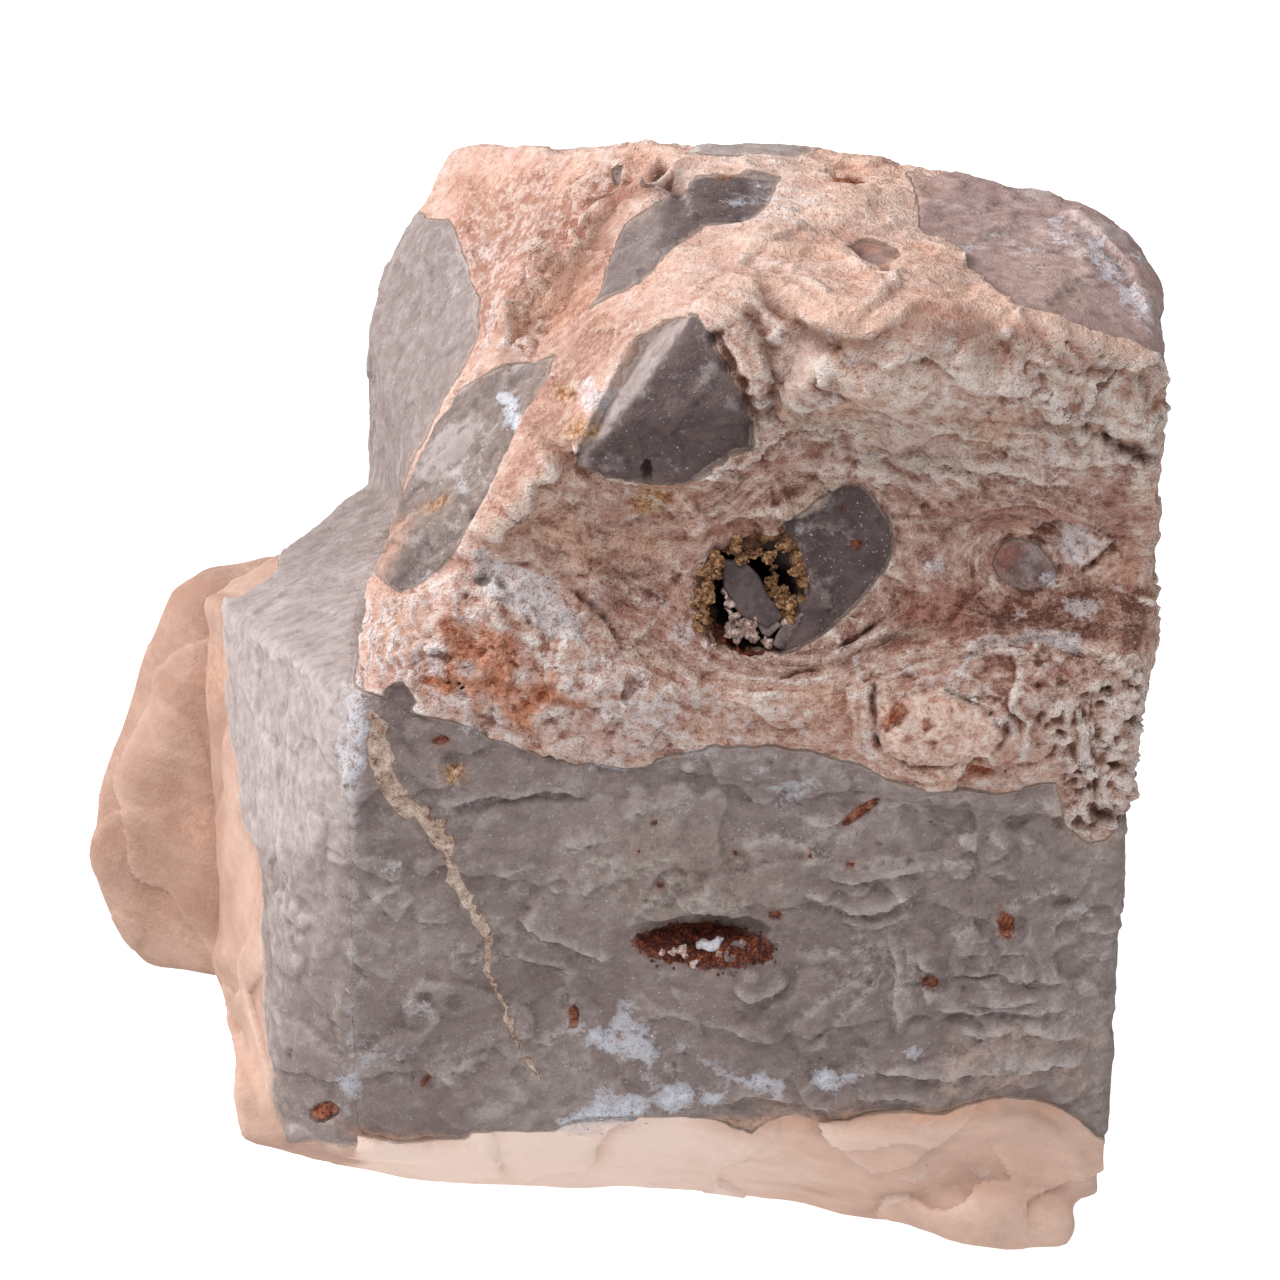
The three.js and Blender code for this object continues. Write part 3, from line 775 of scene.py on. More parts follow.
# For each hue: a shape, then its strength, and how soft and how ragged its edge is.
WASHES = {
    Hue.PEACH: (
        Wash(Streak(((4.3, 37.3), (6.2, 37.1), (8.0, 35.8), (9.9, 35.5), (11.8, 36.5),
            (13.5, 36.4), (16.0, 35.7), (18.2, 35.0), (20.1, 34.4)), 0.55, near=-19.0, far=2.0),
            1.0, 0.4, 0.25),
        Wash(Patch(((3.4, 42.6), (13.0, 42.2), (12.6, 38.6), (14.0, 37.2), (7.0, 37.6),
            (4.2, 39.0)), -19, 3), 0.35, 1.0, 1.0),
        Wash(Streak(((-4.1, 27.0), (-2.6, 28.8), (-1.2, 30.2)), 0.5, -16, -4), 0.7, 0.4, 0.2),
        Wash(Streak(((2.8, 29.5), (3.8, 30.0), (4.9, 30.5)), 0.08, -16, -4), 0.8, 0.12, 0.1),
        Wash(Streak(((2.8, 29.5), (3.5, 28.9), (4.2, 28.4)), 0.06, -16, -4), 0.8, 0.12, 0.1),
        Wash(Streak(((3.3, 27.4), (4.0, 28.1), (5.0, 28.5), (6.2, 28.6), (7.0, 28.35)), 0.12, -16,
            -4), 0.8, 0.16, 0.15),
        Wash(Streak(((10.9, 28.9), (11.4, 27.6), (11.0, 26.2)), 0.15, -16, -4), 0.5, 0.2, 0.15)),
    Hue.RED: (
        Wash(Spot(8.9, 38.9, 0.5, 2.4, 0.1, -19), 0.4, 0.6, 0.8),
        Wash(Streak(((11.6, 28.5), (13.9, 28.7), (17.2, 28.7), (19.4, 28.1), (19.9, 27.0),
            (19.7, 25.8)), 0.2), 0.75, 0.2, 0.2),
        Wash(Streak(((13.3, 26.6), (13.9, 27.9), (15.4, 28.3), (17.2, 28.0)), 0.14), 0.6, 0.16,
            0.2),
        Wash(Streak(((14.2, 25.4), (15.8, 25.0), (17.4, 25.3)), 0.14), 0.5, 0.16, 0.2),
        Wash(Spot(15.0, 27.0, 0.35, 1.6, 0.6), 0.6, 0.4, 0.4),
        Wash(Spot(2.5, 25.3, 0.8, 1.2, 1.2), 0.45, 0.5),
        Wash(Streak(((1.0, 29.0), (2.6, 28.3), (4.0, 28.6)), 0.16), 0.5, 0.2),
        Wash(Spot(19.3, 29.0, 0.5, 2.0, -0.5), 0.45),
        Wash(Spot(-3.5, 37.9, 0.5), 0.35, 0.5)),
    Hue.ORANGE: (
        Wash(Spot(12.0, 38.2, 0.5, 2.0, -0.6, -19), 0.5, 0.5, 0.5),
        Wash(Spot(9.7, 41.7, 1.3, 1.6, -0.1), 0.55, 0.8),
        Wash(Spot(-4.2, 41.8, 1.6), 0.35, 1.2),
        Wash(Streak(((11.2, 18.9), (13.2, 18.7), (14.8, 19.2), (15.6, 20.4)), 0.3), 0.5),
        Wash(Spot(8.2, 21.7, 0.5, 2.0), 0.45),
        Wash(Spot(11.6, 37.9, 0.5, 2.4, -0.5), 0.4),
        Wash(Spot(-8.0, 27.6, 0.5, 2.4, 1.1), 0.4),
        Wash(Streak(((3.5, 5.2), (7.0, 5.2), (10.0, 5.5), (13.0, 5.5), (15.5, 6.1), (17.2, 5.8),
            (18.4, 5.1)), 0.2, -14, 6), 0.7, 0.2, 0.2),
        Wash(Streak(((-10.6, 5.0), (-8.8, 4.6), (-5.6, 4.5)), 0.1, -14, 6), 0.8, 0.15, 0.1),
        Wash(Spot(-16.2, 16.3, 0.7, 1.4, 0.0, -6, 34), 0.3, 0.5, 0.2),
        Wash(Spot(-15.4, 22.6, 0.6, 1.6, 1.5, -6, 34), 0.35, 0.6, 0.2)),
    Hue.PALE: (
        Wash(Spot(6.8, 40.4, 0.8, 2.0, 0.2, -19), 0.45, 0.6, 1.0),
        Wash(Spot(-3.9, 40.0, 2.2, 1.6, 1.1, -9, 19), 0.3, 1.2, 0.6),
        Wash(Patch(((-6.9, 21.6), (-6.9, 24.6), (-4.6, 25.2), (-2.0, 23.8), (1.0, 22.6),
            (3.4, 21.8), (3.4, 19.8), (0.4, 19.4), (-3.4, 20.4), (-5.9, 21.2)), -14, -3), 0.5, 0.4,
            0.8),
        Wash(Patch(((-4.85, 27.1), (-2.8, 26.7), (-1.7, 25.3), (-0.6, 23.9), (-2.1, 23.7),
            (-3.4, 24.7), (-4.8, 26.2)), -14, -4), 0.85, 0.35, 0.45),
        Wash(Spot(-6.4, 25.3, 1.0, 1.4, 0.9), 0.35, 0.6, 0.8),
        Wash(Spot(2.9, 24.2, 0.28, 1.4, 1.2), 0.7),
        Wash(Spot(-0.6, 33.2, 0.6, 1.3, -0.8), 0.95, 0.3, 0.5),
        Wash(Spot(12.7, 26.7, 0.4, 1.4), 0.7, 0.25, 0.6),
        Wash(Spot(18.0, 27.5, 0.55, 1.4, 0.2), 0.65, 0.3, 0.7),
        Wash(Spot(17.2, 25.1, 0.3, 2.4, 0.1), 0.7, 0.25, 0.6),
        Wash(Spot(16.6, 26.2, 0.3, 1.6, -0.4), 0.8, 0.2, 0.4),
        Wash(Streak(((13.4, 22.8), (14.0, 23.5), (15.4, 23.9), (17.0, 23.9), (18.6, 23.4),
            (20.0, 22.8)), 0.34), 0.75, 0.3, 0.4),
        Wash(Spot(2.4, 21.0, 1.4, 2.2, -0.15), 0.4, 0.8, 0.9),
        Wash(Streak(((-6.6, 21.2), (-4.6, 20.6), (-2.4, 20.0), (0.6, 19.4), (3.0, 19.9)), 0.18,
            -14, -3), 0.5, 0.25, 0.3),
        Wash(Streak(((-3.2, 31.6), (-3.5, 32.6), (-3.9, 33.0)), 0.2, -14, -3), 0.8, 0.3, 0.6),
        Wash(Spot(-5.2, 30.2, 0.5, 1.6, 1.0, -14, -3), 0.3, 0.4, 0.8),
        Wash(Streak(((17.4, 39.6), (18.8, 38.4), (19.9, 37.0), (20.4, 35.6)), 0.6, -19, 2), 0.5,
            0.6, 1.0),
        Wash(Streak(((14.0, 38.6), (15.4, 38.9), (17.0, 38.2)), 0.2, -19, 2), 0.4, 0.3, 0.8),
        Wash(Streak(((6.9, 28.2), (7.5, 28.0), (8.0, 28.1)), 0.06, -14, -2), 0.5, 0.1, 0.1),
        Wash(Streak(((8.4, 27.9), (9.2, 27.6), (9.9, 27.7)), 0.05, -14, -2), 0.45, 0.1, 0.2),
        Wash(Streak(((12.0, 2.9), (13.4, 3.2), (14.8, 3.1)), 0.12, -16, 6), 0.5, 0.2, 0.3),
        Wash(Streak(((8.6, 4.6), (10.8, 5.0), (13.0, 5.1)), 0.08, -16, 6), 0.35, 0.2, 0.3),
        Wash(Streak(((-1.15, 9.3), (-0.15, 8.5), (1.35, 8.2), (3.2, 8.1), (5.1, 7.0), (6.6, 6.85)),
            0.28), 0.8, 0.35, 0.7),
        Wash(Streak(((1.35, 8.2), (0.6, 9.3), (1.2, 10.4)), 0.12), 0.6, 0.2, 0.4),
        Wash(Streak(((3.6, 6.65), (1.7, 5.9), (-0.5, 5.6), (-1.65, 5.1)), 0.35), 0.9, 0.35, 0.7),
        Wash(Streak(((5.1, 7.0), (4.2, 6.2), (3.6, 5.7)), 0.25), 0.8, 0.3, 0.5),
        Wash(Streak(((8.4, 7.3), (9.6, 7.3), (10.5, 7.4)), 0.3), 0.85, 0.3, 0.6),
        Wash(Streak(((8.75, 7.4), (8.65, 6.1)), 0.16), 0.7, 0.25, 0.5),
        Wash(Spot(12.0, 8.2, 0.26, 1.4), 0.85, 0.2, 0.3),
        Wash(Spot(-7.2, 9.6, 0.35, 1.7), 0.4, 0.3, 0.6),
        Wash(Spot(-9.8, 6.8, 0.35), 0.6, 0.3, 0.5),
        Wash(Spot(-8.0, 15.3, 0.28, 1.2), 0.6, 0.2, 0.4),
        Wash(Spot(-9.0, 8.2, 0.9, 1.6), 0.25, 0.6, 1.0),
        Wash(Spot(7.0, 18.5, 0.5, 1.8, -0.4), 0.4, 0.4, 1.0),
        Wash(Spot(18.2, 13.4, 0.6, 1.2, 1.2), 0.35, 0.5, 1.0),
        Wash(Streak(((-9.0, 21.8), (-9.0, 20.6), (-9.2, 19.2), (-9.7, 18.2)), 0.45, -14, 0), 0.45,
            0.35, 0.9)),
    # Brown stains, with painted shade: a shadow under the ridge crest and the crease where the
    # lobe meets the body.
    Hue.BROWN: (
        Wash(Streak(((-0.6, 25.2), (1.2, 27.6), (0.6, 29.0)), 0.7, -16, -4), 0.3, 0.7, 0.6),
        Wash(Spot(12.7, 35.0, 0.45, 2.4, 0.2), 0.5),
        Wash(Spot(14.3, 34.5, 0.35, 1.8), 0.45),
        Wash(Spot(12.2, 24.3, 0.5, 3.0, -0.1), 0.45),
        Wash(Streak(((0.9, 41.4), (-0.45, 39.0), (-1.8, 37.2), (-3.2, 35.4), (-4.2, 34.2)), 0.45,
            -14, 8), 0.8, 0.5, 0.9),
        # Painted shadow under the ridge crest.
        Wash(Streak(((6.4, 36.2), (8.0, 34.9), (9.9, 34.6), (11.6, 35.6), (13.6, 35.4),
            (16.1, 34.7), (18.2, 34.0), (20.0, 33.6)), 0.3), 0.75, 0.4, 0.5),
        Wash(Streak(((14.4, 4.8), (15.0, 5.5), (16.2, 5.8), (17.2, 5.3), (18.0, 4.6), (18.6, 3.8)),
            0.1, -14, 6), 0.5, 0.25, 0.15),
        # Painted shade in the crease where the lobe meets the body.
        Wash(Streak(((-15.4, 21.0), (-15.5, 19.0), (-15.5, 16.6), (-16.1, 14.4), (-17.1, 12.4)),
            0.25, -6, 34), 0.55, 0.45, 0.05),
        Wash(Patch(((-15.4, 16.0), (-14.8, 14.5), (-14.5, 12.0), (-16.8, 12.0), (-15.9, 14.2)), -6,
            34), 0.3, 0.4, 0.1),
        Wash(Streak(((4.6, 6.3), (8.0, 5.9), (11.0, 6.4)), 0.3, -14, 2), 0.4, 0.5, 1.0)),
    Hue.TAN: (
        Wash(Patch(((-5.6, 42.4), (-1.6, 42.4), (-2.6, 36.6), (-4.8, 36.4)), -9, 19), 0.45, 0.8),
        Wash(Patch(((-3.9, 28.0), (-2.6, 33.6), (-1.4, 36.0), (1.6, 36.4), (-0.6, 33.0),
            (-1.6, 30.6)), -19, 0), 0.35, 0.8),
        Wash(Spot(0.8, 40.2, 0.45, 1.6, 0.7), 0.7),
        Wash(Spot(1.95, 23.1, 0.4, 2.2, -0.2), 0.7, 0.2, 0.2),
        Wash(Spot(16.6, 37.6, 1.2, 1.6, -0.4, -19), 0.3, 0.8),
        Wash(Streak(((6.6, 28.7), (7.3, 29.1), (8.1, 29.6), (8.7, 29.8)), 0.4, -14, -2), 1.0, 0.2,
            0.3),
        Wash(Streak(((13.0, 8.0), (15.9, 8.4), (18.8, 8.7)), 0.45, -14, 2), 0.45, 0.5, 0.9),
        Wash(Streak(((12.4, 6.8), (14.8, 6.9), (18.8, 7.3)), 0.4, -14, 2), 0.55, 0.4, 0.9),
        Wash(Streak(((3.5, 5.3), (6.5, 5.4), (10.0, 5.7)), 0.3, -14, 2), 0.4, 0.4, 0.9),
        Wash(Streak(((17.0, 18.4), (17.3, 17.1), (18.3, 16.3), (19.5, 16.6)), 0.3, -14, 0), 0.6,
            0.25, 0.3)),
    Hue.OLIVE_AND_SHADE: (
        Wash(Patch(((4.8, 35.6), (7.5, 34.7), (10, 34.4), (12, 35.6), (15, 35.2), (18, 34),
            (20.5, 33.6), (20.5, 31), (16, 30.4), (12, 30.2), (9, 30.6), (6.5, 31.8)), -17, -4),
            0.22, 0.8, 0.8),
        # These two spots are painted shadows in the rough row under the ridge.
        Wash(Spot(11.4, 30.9, 0.5, 2.5, 0.1), 0.6),
        Wash(Spot(13.4, 30.4, 0.4, 2.2), 0.5),
        Wash(Spot(1.6, 21.6, 0.45, 1.7), 0.5, 0.4, 0.6),
        Wash(Spot(3.6, 21.4, 0.4, 1.4), 0.45, 0.4, 0.6),
        Wash(Spot(-5.6, 30.0, 1.4, 2.0, 1.1, -14, -3), 0.2, 0.8),
        Wash(Spot(3.2, 14.6, 2.6, 1.8, -0.2, -14, -2), 0.3, 1.5)),
    # Painted shade: dark washes in the wall's broad hollows, in holes and along the foot.
    Hue.DARK: (
        Wash(Spot(2.3, 41.9, 0.55, 1.8, 0.8), 0.75),
        Wash(Spot(-5.6, 30.8, 0.25, 1.6, 0.9, -14, -3), 0.6, 0.3, 0.4),
        Wash(Streak(((-8.2, 9.2), (-5.0, 10.2), (-1.9, 10.7), (1.8, 10.1)), 0.6), 0.32, 0.8),
        Wash(Spot(5.5, 9.9, 2.6, 2.0), 0.15, 1.5),
        Wash(Streak(((-9.6, 5.0), (-7.0, 4.9), (-5.4, 5.4)), 0.5, -12, 2), 0.35, 0.5),
        Wash(Streak(((16.4, 6.4), (18.8, 6.3)), 0.5, -12, 2), 0.25, 0.4),
        Wash(Spot(-9.35, 17.7, 0.28, 1.4, 1.2), 0.5, 0.2, 0.3)),
    Hue.RUST: (
        Wash(Spot(-3.9, 23.4, 0.75, 2.0, -0.25), 0.78, 0.6, 1.1),
        Wash(Spot(-6.05, 22.2, 0.25, 2.2, -0.3), 1.0, 0.25),
        Wash(Streak(((-3.6, 21.4), (-1.4, 20.6), (1.4, 20.6)), 0.5), 0.4, 0.6, 1.2),
        Wash(Streak(((-5.6, 22.5), (-4.0, 22.1), (-2.4, 21.6), (-1.0, 21.7)), 0.6), 0.82, 0.6,
            1.1),
        Wash(Spot(-0.7, 21.7, 0.3, 1.4), 0.7)),
}


@dataclass(frozen=True)
class Lightening:
    """A part of the matrix that is lighter, or darker, than the rest."""

    shape: "Patch | Spot"
    amount: float
    soft: float = 0.9


# Partly the matrix's own tone and partly painted light and shade: some faces made lighter as if
# lit more, others darker as if shaded.
LIGHTENINGS = (
    Lightening(Patch(((-3.9, 28.0), (-2.6, 33.6), (-1.4, 36.0), (1.6, 36.4), (-0.6, 33.0),
        (-1.6, 30.6)), -19, 0), -0.36),
    Lightening(Patch(((-2.8, 35.6), (-1.6, 40.6), (1.0, 42.6), (2.0, 41.4), (0.4, 39.0),
        (-0.6, 36.2)), -19, 6), -0.3),
    Lightening(Patch(((-6.0, 42.4), (-1.6, 42.4), (-2.6, 36.6), (-5.0, 36.4)), -9, 19), -0.55),
    Lightening(Patch(((3.8, 42.4), (13.0, 42.2), (12.6, 38.4), (5.6, 38.4)), -19, 3), 0.12),
    Lightening(Patch(((10.8, 25.8), (20.8, 25.8), (20.8, 23.4), (13.0, 23.6), (10.6, 23.2)), -19,
        0), -0.34, 0.6),
    Lightening(Patch(((6.0, 34.8), (20.8, 34.6), (20.8, 29.6), (8.0, 30.0)), -19, 0), 0.2),
    Lightening(CORAL_ZONE, 0.22),
)
CREVICES = (
    (Trace(((4.3, 35.2), (5.0, 33.5), (5.75, 32.0)), near=-17.0, far=-6.0), 0.22, 0.5),
    (Trace(((6.1, 36.7), (6.8, 36.0), (7.3, 35.2), (8.4, 34.6)), near=-19.0, far=-4.0), 0.45, 0.5),
    (Trace(((5.6, 35.8), (6.1, 34.6), (6.4, 33.4), (6.1, 32.4)), near=-19.0, far=-4.0), 0.3, 0.3),
    (Trace(((8.8, 23.6), (9.4, 23.9), (10.2, 24.5)), near=-16.0, far=-4.0), 0.05, 0.3),
    (Trace(((6.7, 22.4), (7.2, 22.65), (7.9, 22.8)), near=-16.0, far=-4.0), 0.06, 0.25),
    (Trace(((10.15, 22.3), (10.1, 21.2), (10.35, 19.8)), near=-16.0, far=-4.0), 0.09, 0.4),
    (Trace(((15.1, 21.0), (15.2, 20.5), (14.9, 20.0)), near=-16.0, far=-4.0), 0.09, 0.3),
    (Trace(((-1.0, 25.6), (-0.4, 25.1), (0.1, 24.7)), near=-16.0, far=-4.0), 0.09, 0.2),
    (Trace(((18.8, 31.3), (20.2, 30.7)), near=-16.0, far=-4.0), 0.22, 0.5),
    (Trace(((1.2, 42.5), (2.2, 41.9), (2.9, 41.4)), near=-16.0, far=2.0), 0.3, 0.6))
RUST_SPOTS = (
    Spot(9.75, 17.4, 0.19, 4.6, 0.62),
    Spot(15.3, 13.1, 0.34, 1.5, -1.25),
    Spot(12.4, 10.9, 0.2, 1.8, -0.3),
    Spot(6.5, 13.4, 0.18, 1.6, 0.2),
    Spot(-6.1, 20.2, 0.15, 2.6, 0.1),
    Spot(-1.2, 9.4, 0.2, 2.4, 1.5),
    Spot(1.9, 17.0, 0.11, 1.0),
    Spot(2.1, 14.6, 0.13, 1.2, -1.0),
    Spot(1.3, 16.0, 0.08, 1.0),
    Spot(-6.9, 6.9, 0.12, 2.4, 0.9),
    Spot(5.0, 15.8, 0.1, 1.0),
    Spot(7.8, 15.8, 0.09, 1.0),
    Spot(9.3, 15.6, 0.1, 1.8),
    Spot(-10.9, 5.6, 0.34, 1.7, 0.3),
    Spot(9.5, 27.5, 0.2, 1.2),
    Spot(8.95, 28.8, 0.1, 1.0),
    Spot(9.4, 41.6, 0.3, 2.2),
    Spot(-6.3, 22.4, 0.2, 2.6, -0.2),
    Spot(14.2, 18.9, 0.2, 2.6, -0.2),
    Spot(-1.6, 20.3, 0.14, 1.3),
    Spot(2.5, 19.9, 0.12, 1.8, 0.2),
    Spot(4.6, 41.7, 0.14, 2.0),
)
AMBER_SPOTS = (
    Spot(1.75, 29.15, 0.5, 1.4, 0.1),
    Spot(-1.4, 33.1, 0.36, 1.1, 0.4),
    Spot(-0.95, 31.65, 0.36, 1.3, 0.6),
    Spot(-5.7, 18.9, 0.3, 1.2),
    Spot(-6.2, 29.1, 0.16, 2.4, 0.5),
)
PEBBLE_SPOTS = (
    Spot(10.9, 21.1, 0.3, 1.9, 0.9),
    Spot(12.1, 20.7, 0.22, 1.2),
    Spot(12.4, 20.1, 0.12, 1.0),
    Spot(13.0, 20.2, 0.1, 1.0),
    Spot(13.3, 20.8, 0.09, 1.0),
    Spot(11.5, 20.3, 0.08, 1.3),
    Spot(12.9, 21.3, 0.08, 1.2),
    Spot(11.2, 19.9, 0.08, 1.0),
)


class Depth(Enum):
    """How deep a hollow is cut for each grade of pore, in millimetres."""

    PRICK = 0.12
    PORE = 0.28
    HOLE = 0.5


@dataclass
class Survey:
    """Everything the relief and the colours need to know about each point."""

    points: Array
    normals: Array
    placed: Array
    facing: Array
    front: Array
    flow: Array
    bed: Array
    grey: Array
    skin: Array
    tone: Array
    tint: Array
    skin_tone: Array
    clast_rough: Array
    zones: dict[str, Array] = field(default_factory=dict)


@dataclass
class RockMap:
    """Finds which rock each point of the stone's surface is made of."""

    plane: LeaningPlane
    noise: RockNoise

    BANDED_CENTRE: Point2 = (15.9, 26.8)
    HOLLOW_CENTRE: Point2 = (7.4, 26.4)
    PEBBLE_CENTRE: Point2 = (12.6, 20.5)

    def flow(self, points: Array, placed: Array) -> Array:
        """The height in the stack of flow bands, in millimetres.

        The bands lean with the plane, wander, and part round the clasts as a
        stream parts round boulders.

        Args:
            points: Points in millimetres, one row each.
            placed: The points on the leaning plane: across, up and depth.

        Returns:
            One height for each point.
        """
        across, up = placed[:, 0], placed[:, 1]
        flow = up + 0.12 * across
        flow = flow + 1.3 * self.noise.smooth(points, 9.0, 3.1)
        flow = flow + 0.5 * self.noise.smooth(points, 3.4, 5.7)
        near = (placed[:, 2] < 2) & (placed[:, 2] > -18)
        rounds = (
            (self.HOLLOW_CENTRE, 4.3, 3.3), (self.PEBBLE_CENTRE, 2.8, 1.8),
            ((2.6, 32.6), 3.4, 3.4))
        for (centre_x, centre_y), half_x, half_y in rounds:
            x, y = (across - centre_x) / half_x, (up - centre_y) / half_y
            radius2 = np.maximum(x * x + y * y, 0.8)
            pull = (up - centre_y) / radius2 * np.exp(-np.maximum(radius2 - 1, 0) * 0.25)
            flow = flow - np.where(near, pull, 0)
        x, y = across - self.BANDED_CENTRE[0], (up - self.BANDED_CENTRE[1]) * 1.25
        radius = np.sqrt(x * x + y * y)
        ring = np.where(near, 1 - ease(1.6, 3.6, radius), 0)
        around = self.BANDED_CENTRE[1] + radius + 0.25 * self.noise.smooth(points, 2.0, 8.8)
        return flow * (1 - ring) + around * ring

    def survey(self, points: Array, normals: Array) -> Survey:
        """Works out the rock at each point.

        Args:
            points: Points in millimetres.
            normals: Their outward normals.

        Returns:
            The survey.
        """
        placed = self.plane.place(points)
        facing = -(normals @ self.plane.axes()[2])
        front = ease(-0.1, 0.35, facing) * (1 - ease(1.0, 4.0, placed[:, 2]))
        across, up = placed[:, 0], placed[:, 1]
        wobble = 0.16 * self.noise.layered(points, 1.6, 3, 1.7)
        s, c = math.sin(self.plane.lean), math.cos(self.plane.lean)
        wall_back = points[:, 1] - self.plane.foot()[1]
        height = (line_height(CONTACT, across) - wall_back * s) / c
        far_height = 20.6 + 2.2 * self.noise.smooth(points * [1, 1, 0], 16.0, 2.2)
        behind = ease(3.0, 8.0, wall_back)
        top = height * (1 - behind) + far_height * behind
        bed = (top - points[:, 2]) * 0.92
        foot = (line_height(FOOT, across) - np.minimum(wall_back, 4.0) * s) / c
        lower = points[:, 2] - (foot + 0.8 * behind * self.noise.smooth(points, 7.0, 4.0))
        bed = np.minimum(bed, lower) + wobble
        face = LEFT_FACE.inside(placed) + wobble
        leftward = (across < -9.6) & (placed[:, 2] > -9) & (placed[:, 2] < 14) & (up < 26)
        bed = np.where(leftward, face, bed)
        outer = np.where(points[:, 0] < -13.0, 14.0, 18.0)
        brim = -9.0 + 4 * wobble - 1.6 * ease(12.0, 16.0, points[:, 2])
        rear_left = (points[:, 0] < brim) & (wall_back > outer)
        rear_left = rear_left & (points[:, 2] < 21) & (face < 0)
        bed = np.where(rear_left, np.minimum(bed, -0.6 + 1.6 * wobble), bed)
        grey = bed
        tone = 0.44 + 0.08 * self.noise.smooth(points, 6.0, 9.4)
        tone = tone + 0.015 * ease(-9.0, -10.2, across)
        low_left = (1 - ease(3.0, 9.0, points[:, 0])) * (placed[:, 2] < 8)
        skin_tone = tone + 0.22 * low_left * ease(-12.0, -8.0, across)
        skin_tone = skin_tone - 0.07 * ease(11.0, 16.0, across)
        skin_tone = np.where(rear_left | leftward, np.where(across > -15.2, 0.24, 0.18), skin_tone)
        tint = 0.15 * self.noise.smooth(points, 5.0, 12.2)
        wander = self.noise.layered(points, 3.5, 4, 13.5)
        hidden = np.maximum(ease(0.05, -0.25, facing), ease(13.0, 15.0, placed[:, 2]))
        rough = np.zeros(len(points), np.float32)
        for clast in CLASTS:
            inside = clast.patch.inside(placed) + 0.6 * wobble
            inside = inside + hidden * wander
            here = ease(-0.4, -0.05, inside)
            shown = clast.tone + 0.13 * (clast is REAR_FLANK) * (1 - ease(25.0, 29.0, up))
            tone = tone * (1 - here) + shown * here
            tint = tint * (1 - here) + clast.tint * here
            rough = np.maximum(rough, clast.rough * here)
            close = np.clip(1 - np.abs(grey - inside) / 0.9, 0, 1)
            grey = np.maximum(grey, inside) + 0.225 * hidden * close**2
        for clast in BURIED:
            inside = clast.inside(points) + 1.6 * wobble
            here = ease(-0.4, -0.05, inside)
            tone = tone * (1 - here) + clast.tone * here
            grey = np.maximum(grey, inside)
        low = np.maximum(-lower, 0)
        skin = np.where(low > 0, np.minimum(low, 2.0), -np.minimum(lower, 2.0))
        skin = np.where(leftward, 1.0, skin)
        skin = np.where(rear_left, np.maximum(skin, 1.0), skin)
        survey = Survey(
            points, normals, placed, ease(0.0, 0.16, facing), front, self.flow(points, placed),
            bed, grey, skin, tone, tint, skin_tone, rough)
        zones = {
            "vug": VUG_MOUTH, "lens": LENS_VUG, "pebble": PEBBLE, "rust": RUST_ZONE,
            "powder": POWDER_ZONE, "pitted": PITTED_ZONE, "coral": CORAL_ZONE, "scoop": SCOOP_ZONE,
            "fibre": FIBRE_ZONE, "pored": PORED_BAND, "row": ROUGH_ROW, "proud": PROUD_CLAST.patch,
            "ridge": RIDGE_CLAST.patch, "banded": BANDED_CLAST.patch}
        for name, patch in zones.items():
            survey.zones[name] = patch.inside(placed)
        return survey


# The relief


@dataclass(frozen=True)
class Landform:
    """A broad lump or hollow, oval on the leaning plane."""

    across: float
    up: float
    reach: float
    height: float
    stretch: float = 1.0
    turn: float = 0.0
    near: float = -19.0
    far: float = 3.0

    def raise_by(self, placed: Array) -> Array:
        """How far the surface rises at each point, in millimetres.

        Args:
            placed: The points on the leaning plane: across, up and depth.

        Returns:
            One rise for each point.
        """
        x, y = placed[:, 0] - self.across, placed[:, 1] - self.up
        s, c = math.sin(self.turn), math.cos(self.turn)
        along, over = (x * c + y * s) / self.stretch, y * c - x * s
        rise = self.height * np.exp(-(along**2 + over**2) / self.reach**2)
        inside = (placed[:, 2] > self.near) & (placed[:, 2] < self.far)
        return np.where(inside, rise, 0.0)


